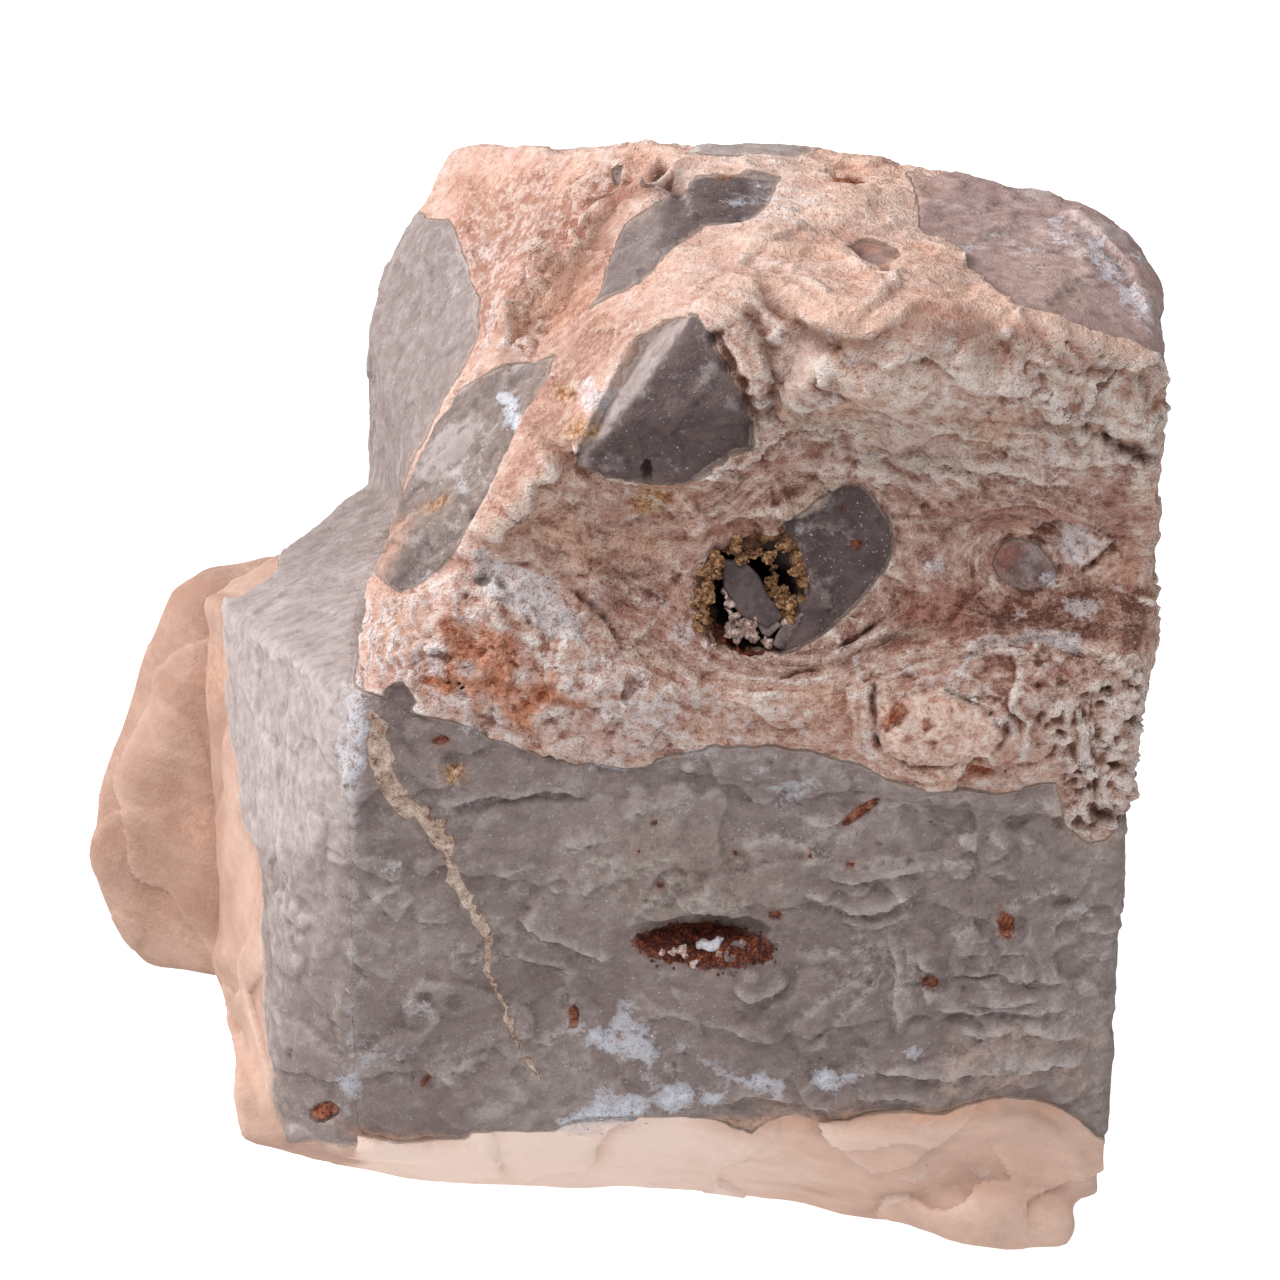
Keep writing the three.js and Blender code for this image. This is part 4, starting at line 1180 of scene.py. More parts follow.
LANDFORMS = (
    Landform(0.2, 10.4, 1.8, -0.6, 1.6, -0.2),
    Landform(-6.4, 8.4, 1.3, -0.45, 1.8, 0.1),
    Landform(-6.2, 10.3, 0.8, 0.2, 2.4, 0.15),
    Landform(9.2, 14.6, 1.0, -0.35, 2.6, -0.05),
    Landform(9.0, 16.2, 0.8, 0.2, 2.6, -0.1),
    Landform(5.4, 11.0, 0.9, 0.35, 1.2),
    Landform(13.4, 10.0, 1.2, -0.3, 1.6, -0.2),
    Landform(-3.4, 24.6, 1.3, 0.5, 1.8, -0.5),
    Landform(0.6, 22.2, 1.1, 0.45, 2.6, -0.3),
    Landform(6.0, 21.6, 0.9, 0.3, 2.6),
    Landform(8.6, 31.4, 1.3, -0.7, 2.0, -0.2),
    Landform(14.0, 31.6, 1.0, -0.5, 2.6, 0.1),
    Landform(16.6, 29.8, 1.0, 0.35, 2.2),
    Landform(9.0, 34.0, 1.0, 0.2, 1.8, -0.4),
    Landform(13.8, 34.4, 0.9, 0.2, 2.2, 0.1),
    Landform(6.6, 33.6, 0.7, -0.9, 2.0, 1.2),
    Landform(12.8, 25.6, 1.2, 0.3, 1.6, 0.4),
    Landform(2.0, 25.6, 1.0, -0.3, 1.5, 0.9),
    Landform(0.4, 27.6, 1.6, -0.35, 1.5, 0.6),
    Landform(12.6, 20.6, 1.5, 0.35, 1.6),
    Landform(-2.5, 10.0, 2.2, -0.3, 1.4, -0.9),
    Landform(11.0, 13.2, 2.6, -0.25, 1.4, 0.3),
    Landform(5.2, 9.4, 1.6, 0.2, 2.4, 0.1),
    Landform(15.6, 8.0, 1.2, 0.25, 2.4),
    Landform(4.6, 40.8, 1.0, 0.25, 2.4, 0.2, near=-16, far=3),
    Landform(9.6, 40.4, 1.2, 0.5, 1.8, -0.1),
    Landform(11.4, 37.4, 1.0, 0.4, 1.6, -0.3),
    Landform(6.6, 38.4, 0.9, 0.3, 1.5),
    # along the outline
    Landform(10.9, 2.5, 1.6, 0.75, 2.2, -0.25, far=8),
    Landform(18.4, 3.2, 0.7, 0.5, far=8),
    Landform(17.6, 1.2, 0.7, 0.35, far=8),
    Landform(4.2, 3.2, 1.0, -0.3, 2.0, far=8),
    Landform(-13.9, 7.2, 1.0, -0.3, 2.0, 1.57, far=20),
    Landform(-14.9, 11.2, 0.9, 0.5, near=-2, far=30),
    Landform(-17.6, 20.5, 1.8, 0.4, 2.4, 1.25, 2, 40),
    Landform(-16.3, 25.4, 1.0, 0.45, 1.2, 0.8, 2, 40),
    Landform(-18.3, 14.2, 1.0, -0.35, 1.6, -1.1, 2, 40),
    Landform(-12.2, 27.6, 1.2, -0.3, 2.0, 0.4, -9, 30),
    Landform(-8.8, 32.6, 1.2, -0.35, 2.0, 1.57, -9, 40),
    Landform(-8.2, 36.2, 1.0, -0.3, 2.0, 1.2, -9, 40),
    Landform(-6.9, 39.8, 1.0, 0.3, 1.6, 1.1, -9, 40),
    Landform(1.8, 42.9, 1.2, -0.35, 2.2, 0.0, -19, 30),
    Landform(10.2, 42.3, 1.2, -0.35, 2.4, -0.15, -19, 30),
    Landform(19.2, 39.3, 1.5, 0.3, 2.0, -0.8, -19, 30),
    Landform(21.3, 32.0, 1.2, -0.35, 2.0, 1.57, -19, 30),
    Landform(20.6, 24.0, 1.0, 0.35, 1.8, 1.57, -19, 30),
)


@dataclass
class Relief:
    """The height of the broken surface of each kind of rock.

    In each call of the noise the first number is a width in millimetres, and
    the last one only moves the pattern.
    """

    noise: RockNoise

    def broad(self, survey: Survey) -> Array:
        """Lumps and hollows wider than a few millimetres.

        Args:
            survey: What lies where.

        Returns:
            The height at each point, in millimetres.
        """
        height = np.zeros(len(survey.points), np.float32)
        for form in LANDFORMS:
            height = height + form.raise_by(survey.placed)
        noise = self.noise
        matrix = ease(-0.4, 0.6, -survey.grey)
        height = height + (0.16 + 0.16 * matrix) * noise.smooth(survey.points, 7.5, 21.0)
        height = height + (0.05 + 0.16 * matrix) * noise.smooth(survey.points, 3.2, 23.0)
        behind = 1 - survey.front
        height = height + 0.35 * behind * noise.smooth(survey.points, 11.0, 27.0)
        return height

    def grey(self, survey: Survey) -> Array:
        """Smooth broken rock with shell-like hollows and chipped ledges.

        Args:
            survey: What lies where.

        Returns:
            The height at each point, in millimetres.
        """
        noise, points, placed = self.noise, survey.points, survey.placed
        height = 0.03 * noise.layered(points, 1.2, 4, 30.0)
        crisp = noise.warp(points, 1.6, 0.5, 31.0)
        height = height + 0.07 * noise.facets(crisp, 1.5, 32.0)
        height = height + 0.025 * noise.facets(crisp, 0.6, 38.0)
        chips, _ = noise.cells(noise.warp(points, 0.8, 0.3, 33.0), 0.7, 34.0)
        chipped = (1 - ease(0.1, 0.2, chips)) * ease(0.1, 0.4, noise.smooth(points, 1.9, 37.0))
        height = height - 0.1 * chipped * survey.front
        wall = ease(0.0, 0.5, survey.bed) * survey.front
        right = ease(5.0, 8.0, placed[:, 0]) * wall
        busy = ease(-0.1, 0.35, noise.smooth(points, 4.2, 46.0) + 0.3 * right - 0.15)
        busy = busy * ease(0.0, 0.5, survey.bed)
        shell = noise.warp(points, 2.2, 0.5, 44.0) @ np.diag([0.55, 1.0, 1.25])
        first, _ = noise.cells(shell, 2.1, 45.0)
        height = height + (0.03 + 0.12 * busy) * (first**2 - 0.3)
        small, _ = noise.cells(noise.warp(points, 1.2, 0.3, 47.0), 1.0, 48.0)
        height = height + 0.05 * busy * (small**2 - 0.3)
        stretch = points @ np.array([[0.45, 0, -0.2], [0, 1, 0], [0.2, 0, 1.3]])
        step = noise.smooth(stretch, 3.6, 35.0) + 0.25 * noise.smooth(points, 1.1, 36.0)
        height = height + 0.11 * ease(-0.03, 0.03, step - 0.1) * (0.4 + wall)
        rough = survey.clast_rough
        flakes = noise.warp(points, 1.4, 0.5, 40.0)
        height = height + rough * 0.14 * noise.facets(flakes, 1.5, 41.0)
        height = height + rough * 0.06 * noise.layered(points, 0.7, 3, 42.0)
        flank = ease(2.0, 4.0, placed[:, 2]) * ease(-3.0, -5.0, placed[:, 0])
        hackle = points @ np.array([[1.6, 0, 0], [0, 1.3, 0], [0, 0.0, 0.4]])
        height = height + 0.12 * flank * noise.ridged(hackle, 2.4, 2, 43.0)
        left = ease(-9.3, -10.3, placed[:, 0]) * ease(-0.3, 0.4, survey.bed)
        hackle = noise.warp(points, 2.0, 0.5, 29.0) @ np.diag([1.5, 1.3, 0.3])
        height = height + 0.1 * left * (noise.ridged(hackle, 1.7, 3, 28.0) - 0.6)
        fold, side, _ = Trace(PROUD_FOLD, -17.0, -8.0).measure(placed)
        proud = ease(-0.6, -0.1, survey.zones["proud"]) * (side < 0) * (fold < 5)
        return height - 0.4 * np.minimum(fold, 1.4) * proud

    def matrix(self, survey: Survey, parts: dict[str, Array]) -> Array:
        """Flow-banded matrix: facets, terraces, grains and pores.

        Args:
            survey: What lies where.
            parts: Named parts of the relief, to which this adds its own.

        Returns:
            The height at each point, in millimetres.
        """
        noise, points, placed, zones = self.noise, survey.points, survey.placed, survey.zones
        flow = survey.flow
        swirled = np.stack([points[:, 0] * 0.3, points[:, 1] * 0.3, flow], axis=1)
        scoop = ease(-0.5, 0.8, zones["scoop"])
        row = ease(-0.6, 0.9, zones["row"])
        broad = noise.smooth(swirled, 1.7, 50.0)
        middle = noise.ridged(swirled, 0.8, 2, 51.0) - 0.6
        fibre = noise.smooth(swirled, 0.33, 52.0)
        height = 0.12 * broad + (0.06 + 0.1 * row) * middle + (0.035 + 0.05 * row) * fibre
        tread = flow / 1.1 + 0.5 * noise.smooth(points, 2.0, 53.0)
        tread = tread - np.floor(tread)
        step = tread * (1 - ease(0.86, 1.0, tread))
        stepped = ease(-0.1, 0.4, noise.smooth(points, 3.5, 54.0))
        height = height + (0.16 * stepped) * step
        thin = flow / 0.5 + 0.35 * noise.smooth(points, 1.2, 49.0)
        thin = thin - np.floor(thin)
        layered = ease(0.0, 0.4, noise.smooth(points, 2.4, 99.0)) * (1 - ease(0.8, 1.0, thin))
        height = height + 0.09 * layered * thin
        rough = np.clip(0.35 + 0.8 * noise.smooth(points, 4.5, 56.0), 0.1, 1)
        rough = np.maximum(rough * (1 - 0.5 * scoop), 0.75 * row)
        for name, most in (("rust", 0.9), ("powder", 0.6), ("pored", 0.9), ("pitted", 0.9)):
            rough = np.maximum(rough, most * ease(-0.4, 0.5, zones[name]))
        behind = ease(0.0, 3.0, placed[:, 2])
        rough = rough * (1 - 0.5 * behind)
        peach = ease(0.25, 0.7, survey.normals[:, 2]) * (placed[:, 1] > 30)
        smooth_left = ease(0.2, 0.6, -survey.normals[:, 0])
        calm = np.maximum(0.65 * peach, 0.9 * smooth_left) * (1 - ease(-0.4, 0.4, zones["pored"]))
        calm = calm * (zones["powder"] < -0.5) * (zones["rust"] < -0.5)
        calm = np.maximum(calm, ease(-0.1, 0.3, zones["pebble"]))
        rough = rough * (1 - calm)
        parts["calm"] = calm
        height = height * (1 - 0.55 * calm)
        warped = noise.warp(points, 2.0, 0.7, 61.0)
        lumpy = rough * (1 - 0.5 * row)
        height = height + (0.16 + 0.34 * lumpy) * noise.facets(warped, 3.0, 62.0)
        height = height + (0.06 + 0.26 * lumpy) * noise.facets(warped, 1.1, 63.0)
        height = height + (0.02 + 0.11 * rough) * noise.facets(warped, 0.55, 85.0)
        height = height + (0.02 + 0.12 * rough) * noise.layered(points, 1.1, 4, 55.0)
        grains, _ = noise.cells(noise.warp(points, 0.8, 0.25, 69.0), 0.42, 58.0)
        pricked = ease(0.35, 0.8, rough) * (1 - ease(0.16, 0.36, grains))
        pricked = pricked * ease(-0.1, 0.3, noise.smooth(points, 1.4, 64.0))
        height = height + 0.1 * rough * grains - Depth.PRICK.value * pricked
        first, _ = noise.cells(warped, 0.9, 57.0)
        pit = (1 - ease(0.14, 0.34, first)) * ease(0.6, 0.9, rough)
        pit = pit * ease(0.0, 0.4, noise.smooth(points, 2.6, 74.0)) * (1 - row)
        height = height - Depth.PORE.value * pit
        coral = ease(-0.3, 0.4, zones["coral"])
        tangled = noise.warp(points, 0.7, 0.3, 65.0)
        holes, between = noise.cells(tangled, 0.62, 59.0)
        tiny, _ = noise.cells(tangled, 0.3, 66.0)
        hole = (1 - ease(0.2, 0.36, holes)) * ease(-0.15, 0.25, noise.smooth(points, 1.6, 75.0))
        lumps = 0.2 * (between - holes) + 0.1 * tiny
        height = height + coral * (lumps - Depth.HOLE.value * hole)
        # The pores are also darkened in the colour, as painted shade.
        parts["pit"] = np.clip(0.5 * pit + 0.35 * pricked + 0.8 * coral * hole, 0, 1)
        fibres = ease(-0.3, 0.3, zones["fibre"])
        curl = placed[:, 0] * 2.2 + 1.1 * noise.smooth(points, 1.8, 60.0)
        curl = 1 - np.abs(np.sin(curl * 3.6 + 2.2 * noise.layered(points, 0.9, 3, 67.0)))
        height = height + fibres * 0.1 * curl
        parts["curl"] = fibres * (0.1 + 0.8 * ease(0.3, 0.8, curl))
        jag = 0.22 * noise.layered(points, 1.6, 4, 76.0)
        lips = np.zeros(len(points))
        for ledge in MATRIX_LEDGES:
            rise, lip = ledge.height(placed, jag)
            height = height + rise
            lips = np.maximum(lips, lip)
        parts["lip"] = lips
        slope = placed[:, 0] * 0.3 + placed[:, 1] * 0.95
        rolled = np.stack([placed[:, 0] * 0.35, slope, placed[:, 2] * 0.4], axis=1)
        ridge = noise.ridged(rolled, 1.5, 3, 68.0) - 0.6
        # The same ridges are also painted lighter and darker in the colour, through lift.
        parts["ridge"] = row * ridge
        return height + 0.16 * row * ridge

    def skin(self, survey: Survey) -> Array:
        """The smooth peach skin, broken back in thin ledges.

        Args:
            survey: What lies where.

        Returns:
            The height at each point, in millimetres.
        """
        noise, points = self.noise, survey.points
        lean = points @ np.array([0.12, 0.25, 1.0]) + 1.1 * noise.smooth(points, 5.0, 70.0)
        tread = lean / 1.5
        tread = tread - np.floor(tread)
        step = tread * (1 - ease(0.9, 1.0, tread))
        shown = ease(0.1, 0.5, noise.smooth(points, 3.6, 71.0)) * ease(2.0, 8.0, points[:, 0])
        shown = shown * survey.front
        bent = noise.warp(points, 3.0, 1.0, 77.0)
        height = 0.16 * step * shown + (0.12 + 0.18 * survey.front) * noise.facets(bent, 6.0, 72.0)
        return height + 0.025 * noise.layered(points, 1.2, 3, 73.0)

    def features(self, survey: Survey, parts: dict[str, Array]) -> Array:
        """The separate marks: vein, crevices, groove, hollows and spots, with painted shade in the
        crevices, holes, groove and pock.

        Args:
            survey: What lies where.
            parts: Named parts of the relief, to which this adds its own.

        Returns:
            The height at each point, in millimetres.
        """
        noise, points, placed, zones = self.noise, survey.points, survey.placed, survey.zones
        height = np.zeros(len(points), np.float32)
        ragged = noise.layered(points, 0.7, 3, 80.0)
        crumbs = noise.layered(points, 0.45, 2, 81.0)
        jag = 0.26 * noise.layered(points, 2.2, 4, 78.0)
        lips = np.zeros(len(points))
        wall = ease(-0.1, 0.2, survey.bed)
        for ledge in WALL_LEDGES + small_ledges(70):
            rise, lip = ledge.height(placed, jag)
            height = height + 0.95 * rise * wall * survey.facing
            lips = np.maximum(lips, lip * wall)
        for ledge in CLAST_LEDGES:
            rise, lip = ledge.height(placed, jag)
            height = height + rise
            lips = np.maximum(lips, 0.7 * lip)
        parts["edge"] = lips
        gap, _, along = VEIN.measure(placed)
        half = np.interp(along, (0, 0.12, 0.3, 0.5, 0.7, 1.0), (0.3, 0.4, 0.36, 0.22, 0.14, 0.07))
        gap = gap + 0.2 * ragged + 0.2 * crumbs
        parts["vein"] = half - gap
        rise = ease(-0.06, 0.1, half - gap)
        height = height + rise * (0.05 + 0.2 * crumbs)
        # Painted shade: crevices, holes, the pebble's groove and the pock are darkened, less so
        # where a crevice is wide.
        dark = np.zeros(len(points), np.float32)
        for crevice, width, depth in CREVICES:
            crack, _, _ = crevice.measure(placed)
            crack = np.abs(crack + min(0.22, width) * ragged)
            open_here = bump(crack, width) * (crack < 5) * survey.facing
            height = height - depth * open_here
            dark = np.maximum(dark, open_here * min(1.0, 0.22 / width))
        for hole in POWDER_HOLES:
            reach = hole.inside(placed) + 0.07 * ragged
            open_here = ease(-0.05, 0.12, reach) * survey.facing
            height = height - 1.6 * hole.radius * open_here
            dark = np.maximum(dark, 0.75 * open_here)
        rim = zones["pebble"] + 0.05 * ragged
        torn = ease(-0.1, 0.4, noise.smooth(points, 2.4, 92.0) + 0.15)
        edge = bump(rim + 0.02, 0.07) * (zones["pebble"] > -2) * torn
        rings = 0.5 + 0.5 * np.cos(np.clip(rim, -1.2, 0) * 2 * math.pi / 0.4)
        rings = rings * ease(-1.2, -0.8, rim) * (rim < 0)
        parts["rings"] = rings - 0.5 * (rings > 0)
        height = height + 0.09 * rings
        height = height - 0.3 * edge + 0.3 * ease(0, 1.1, rim)
        height = height + 0.09 * ease(0, 0.3, rim) * noise.layered(points, 0.5, 2, 79.0)
        parts["groove"] = edge
        parts["pebble"] = rim
        bands = bump(zones["banded"] + 0.1, 0.16) * (zones["banded"] > -2)
        height = height - 0.12 * bands - 0.15 * ease(0, 0.5, zones["banded"])
        vug = ease(-0.2, 0.15, zones["vug"] + 0.16 * ragged)
        height = height + vug * 0.3 * noise.layered(points, 0.8, 4, 82.0)
        parts["vugwall"] = zones["vug"] + 0.16 * ragged
        lens = ease(-0.08, 0.1, zones["lens"] + 0.1 * ragged)
        height = height + lens * 0.22 * noise.layered(points, 0.5, 3, 83.0)
        parts["lenswall"] = lens
        spots = np.zeros(len(points), np.float32)
        for spot in RUST_SPOTS:
            reach = spot.inside(placed) + 0.07 * crumbs
            spots = np.maximum(spots, ease(-0.05, 0.05, reach) * survey.facing)
        height = height - spots * (0.12 - 0.12 * crumbs)
        for spot in PEBBLE_SPOTS:
            reach = spot.inside(placed) + 0.1 * crumbs
            spots = np.maximum(spots, ease(-0.05, 0.05, reach) * survey.facing)
        parts["rust_spot"] = spots
        amber = np.zeros(len(points), np.float32)
        for spot in AMBER_SPOTS:
            reach = spot.inside(placed) + 0.2 * crumbs
            amber = np.maximum(amber, ease(-0.15, 0.15, reach) * survey.facing)
        parts["amber"] = amber
        pock = Spot(1.6, 30.3, 0.17, 1.9, 1.6, near=-17).inside(placed)
        pocked = ease(-0.08, 0.08, pock + 0.06 * crumbs) * survey.facing
        height = height - 0.5 * pocked
        parts["dark"] = np.clip(dark + pocked + 0.8 * parts["groove"], 0, 1)
        rim, side, along = WALL_EDGE.measure(placed)
        reach = np.interp(along, (0.0, 0.2, 0.3, 1.0), (0.55, 0.45, 0.12, 0.13))
        chipped = ease(-0.5, -0.1, noise.smooth(points, 1.3, 88.0) + 0.5 * (reach - 0.1))
        torn = ease(0, 0.12, reach + 0.22 * ragged - rim) * (rim < 5) * chipped
        height = height + torn * 0.1 * noise.facets(points, 0.7, 87.0)
        parts["rim"] = torn
        return height

    def fine(self, survey: Survey) -> tuple[Array, dict[str, Array]]:
        """The relief of all the rocks together.

        Args:
            survey: What lies where.

        Returns:
            The height in millimetres and the named parts that colour it.
        """
        parts: dict[str, Array] = {}
        grey = self.grey(survey)
        matrix = self.matrix(survey, parts)
        skin = self.skin(survey)
        greyness = ease(-0.1, 0.1, survey.grey)
        skinness = ease(-0.15, 0.15, survey.skin) * (1 - greyness)
        height = matrix * (1 - greyness) + grey * greyness
        height = height * (1 - skinness) + skin * skinness
        parts["skinness"] = skinness
        edge = bump(survey.grey, 0.1)
        height = height - 0.02 * edge
        height = height + self.features(survey, parts)
        return height, parts


# The body of the stone


@dataclass
class StoneBody:
    """The whole stone as one closed mesh, in millimetres until it is placed."""

    relief: Relief
    rock_map: RockMap
    coarse_voxel: float = 0.22
    fine_voxel: float = 0.125
    triangles: int = 196000
    rest_height: float = 0.5
    name: str = "stone_body"

    SPARING = 0.0005

    def core(self) -> bpy.types.Object:
        """A merged copy of the frame's solid, scaled to millimetres.

        Returns:
            The object, in millimetres.
        """
        source = bpy.data.objects[NODE].data
        mesh = source.copy()
        work = bmesh.new()
        work.from_mesh(mesh)
        bmesh.ops.remove_doubles(work, verts=work.verts, dist=1e-7)
        bmesh.ops.scale(work, vec=Vector((1, 1, 1)) / MM, verts=work.verts)
        work.to_mesh(mesh)
        work.free()
        mesh.materials.clear()
        body = bpy.data.objects.new(self.name, mesh)
        bpy.context.scene.collection.objects.link(body)
        return body

    @staticmethod
    def bake(body: bpy.types.Object) -> None:
        """Turns the object's modifiers into its mesh and removes them.

        Args:
            body: The object.
        """
        depsgraph = bpy.context.evaluated_depsgraph_get()
        mesh = bpy.data.meshes.new_from_object(body.evaluated_get(depsgraph))
        old = body.data
        body.modifiers.clear()
        body.data = mesh
        bpy.data.meshes.remove(old)

    def remesh(self, body: bpy.types.Object, voxel: float, smooth: int) -> None:
        """Rebuilds the mesh as even quads and takes the steps out of it.

        Args:
            body: The object.
            voxel: The size of a quad in millimetres.
            smooth: How many times the points are evened out.
        """
        cut = body.modifiers.new("cut", "REMESH")
        cut.mode = "VOXEL"
        cut.voxel_size = voxel
        if smooth:
            soften = body.modifiers.new("soften", "SMOOTH")
            soften.factor = 0.5
            soften.iterations = smooth
        self.bake(body)

    @staticmethod
    def read(body: bpy.types.Object) -> tuple[Array, Array]:
        """The mesh's points and normals, one row each.

        Args:
            body: The object.

        Returns:
            The points in millimetres and the outward normals.
        """
        mesh = body.data
        points = np.empty(len(mesh.vertices) * 3, np.float32)
        mesh.vertices.foreach_get("co", points)
        normals = np.empty_like(points)
        mesh.vertex_normals.foreach_get("vector", normals)
        return points.reshape(-1, 3).astype(float), normals.reshape(-1, 3).astype(float)

    def keep_flat_spot(self, moved: Array, points: Array) -> Array:
        """Fades the relief out where the stone rests on its flat spot.

        Args:
            moved: The points with the relief, in millimetres.
            points: The same points without it.

        Returns:
            The points with the relief, but without it near the flat spot, and
            never under it.
        """
        share = ease(0.02, self.rest_height, points[:, 2])[:, None]
        kept = points + (moved - points) * share
        kept[:, 2] = np.maximum(kept[:, 2], 0.0)
        return kept

    def write(self, body: bpy.types.Object, points: Array) -> None:
        """Puts points back into the mesh."""
        body.data.vertices.foreach_set("co", points.astype(np.float32).ravel())
        body.data.update()

    def build(self) -> bpy.types.Object:
        """Makes the stone.

        Returns:
            The finished object, in metres, with its named numbers.
        """
        body = self.core()
        self.remesh(body, self.coarse_voxel, 9)
        points, normals = self.read(body)
        survey = self.rock_map.survey(points, normals)
        height = self.relief.broad(survey)
        moved = self.keep_flat_spot(points + normals * height[:, None], points)
        self.write(body, moved)
        self.remesh(body, self.fine_voxel, 2)
        points, normals = self.read(body)
        LOG.info("fine mesh: %d points", len(points))
        survey = self.rock_map.survey(points, normals)
        height, parts = self.relief.fine(survey)
        moved = self.keep_flat_spot(points + normals * height[:, None], points)
        self.write(body, moved)
        self.write(body, self.relaxed(body, moved, normals))
        self.note(body, survey, height, parts)
        share = self.triangles / (2 * len(body.data.polygons))
        if share < 1:
            thin = body.modifiers.new("thin", "DECIMATE")
            thin.ratio = share
            thin.use_collapse_triangulate = True
            thin.vertex_group = self.spared(body, survey)
            self.bake(body)
        points, _ = self.read(body)
        self.write(body, points * MM)
        body.data.shade_smooth()
        return body

    def relaxed(self, body: bpy.types.Object, points: Array, before: Array) -> Array:
        """Points evened out where the relief has folded the surface over.

        Args:
            body: The object.
            points: Its points.
            before: The normals that the relief rose along.

        Returns:
            The points, moved only in and beside the folds.
        """
        _, after = self.read(body)
        folded = 1 - ease(0.05, 0.4, np.sum(before * after, axis=1))
        folded = np.clip(2.5 * self.evened(body, folded, 5), 0, 1)[:, None]
        even = np.stack([self.evened(body, axis, 10) for axis in points.T], axis=1)
        return points + (even - points) * folded

    def spared(self, body: bpy.types.Object, survey: Survey) -> str:
        """A vertex group that spares the front when the mesh is thinned.

        Args:
            body: The object.
            survey: What lies where.

        Returns:
            The vertex group's name.
        """
        group = body.vertex_groups.new(name="thinned")
        facing = -(survey.normals @ self.rock_map.plane.axes()[2])
        front = ease(-0.1, 0.2, facing) * (1 - ease(4.0, 9.0, survey.placed[:, 2]))
        level = np.round(front * 4) / 4
        for share in (0.0, 0.25, 0.5, 0.75, 1.0):
            chosen = np.flatnonzero(level == share).tolist()
            group.add(chosen, 1 - self.SPARING * share, "REPLACE")
        return group.name

    def specks(self, survey: Survey) -> Array:
        """Where pale specks lie: thinly on all the grey, thickly in a few drifts."""
        drift = self.relief.noise.smooth(survey.points, 3.0, 99.0)
        share = 0.25 + ease(0.15, 0.6, drift)
        return share * ease(0.1, 0.3, survey.grey) * survey.front

    @staticmethod
    def evened(body: bpy.types.Object, values: Array, rounds: int) -> Array:
        """Numbers on the points, evened out along the mesh's edges.

        Args:
            body: The object.
            values: One number for each point.
            rounds: How often neighbours are averaged.

        Returns:
            The evened numbers.
        """
        mesh = body.data
        ends = np.empty(len(mesh.edges) * 2, np.int32)
        mesh.edges.foreach_get("vertices", ends)
        first, second = ends[0::2], ends[1::2]
        count = len(values)
        degree = np.bincount(first, minlength=count) + np.bincount(second, minlength=count)
        result = values.astype(float)
        for _ in range(rounds):
            total = np.bincount(first, result[second], count)
            total += np.bincount(second, result[first], count)
            result = 0.3 * result + 0.7 * total / np.maximum(degree, 1)
        return result

    def note(
        self, body: bpy.types.Object, survey: Survey, height: Array, parts: dict[str, Array]
    ) -> None:
        """Writes what the material needs on the mesh's points.

        Args:
            body: The object.
            survey: What lies where.
            height: The fine relief.
            parts: The named parts of the relief that colour it.
        """
        zones, noise = survey.zones, self.relief.noise
        points, placed = survey.points, survey.placed
        # The relief minus its evened copy, used as painted light and shade: lighter on crests,
        # darker in hollows.
        relief_shade = height - self.evened(body, height, 20)
        ragged = noise.layered(points, 1.3, 4, 96.0)
        washes = {hue.value: np.zeros(len(points)) for hue in Hue}
        for hue, marks in WASHES.items():
            for mark in marks:
                share = mark.share(placed, ragged) * survey.facing
                washes[hue.value] = np.maximum(washes[hue.value], share)
        swirled = np.stack([points[:, 0] * 0.3, points[:, 1] * 0.3, survey.flow], axis=1)
        band = noise.smooth(swirled, 1.5, 97.0) + 0.6 * noise.smooth(swirled, 0.6, 98.0)
        warm = noise.layered(points, 3.4, 4, 93.0)
        matrix = (1 - ease(-0.2, 0.1, survey.grey)) * (1 - parts["skinness"])
        washes["orange"] = np.maximum(washes["orange"], 0.45 * matrix * ease(0.15, 0.8, warm))
        washes["red"] = np.maximum(
            washes["red"], 0.5 * matrix * ease(0.35, 0.75, band - 0.4 * warm))
        washes["peach"] *= matrix
        lace = noise.ridged(noise.warp(points, 1.5, 0.5, 91.0), 1.3, 3, 90.0)
        washes["pale"] *= np.where(survey.grey > -0.05, ease(0.36, 0.7, lace), 0.85)
        washes["pale"] = np.maximum(washes["pale"], 0.85 * parts["curl"] * matrix)
        washes["pale"] = np.maximum(
            washes["pale"], 0.4 * matrix * ease(0.3, 0.9, ragged - 0.5 * band))
        # Painted light and shade: the row's ridges lighter on their crests and darker between
        # them.
        lift = 0.1 * parts["rings"] + 0.55 * parts["ridge"]
        for part in LIGHTENINGS:
            inside = part.shape.inside(placed) + 0.4 * ragged
            lift = lift + part.amount * ease(-part.soft, part.soft, inside) * survey.facing
        # Painted light and shade: the proud clast is lighter on one side of its fold, and the
        # ridge clast darker on one side of its fold.
        fold, side, _ = Trace(PROUD_FOLD, -17.0, -8.0).measure(placed)
        lit = (side < 0) * (fold < 5) * ease(-0.1, 0.1, zones["proud"])
        tone = survey.tone + 0.03 + 0.5 * lit * ease(0.0, 0.12, fold)
        fold, side, _ = Trace(RIDGE_FOLD, -14.0, 2.0).measure(placed)
        dim = ease(-0.1, 0.1, fold * side) * ease(-0.1, 0.1, zones["ridge"])
        tone = tone - 0.2 * dim * (fold < 8)
        cloud = noise.layered(points, 3.0, 4, 95.0)
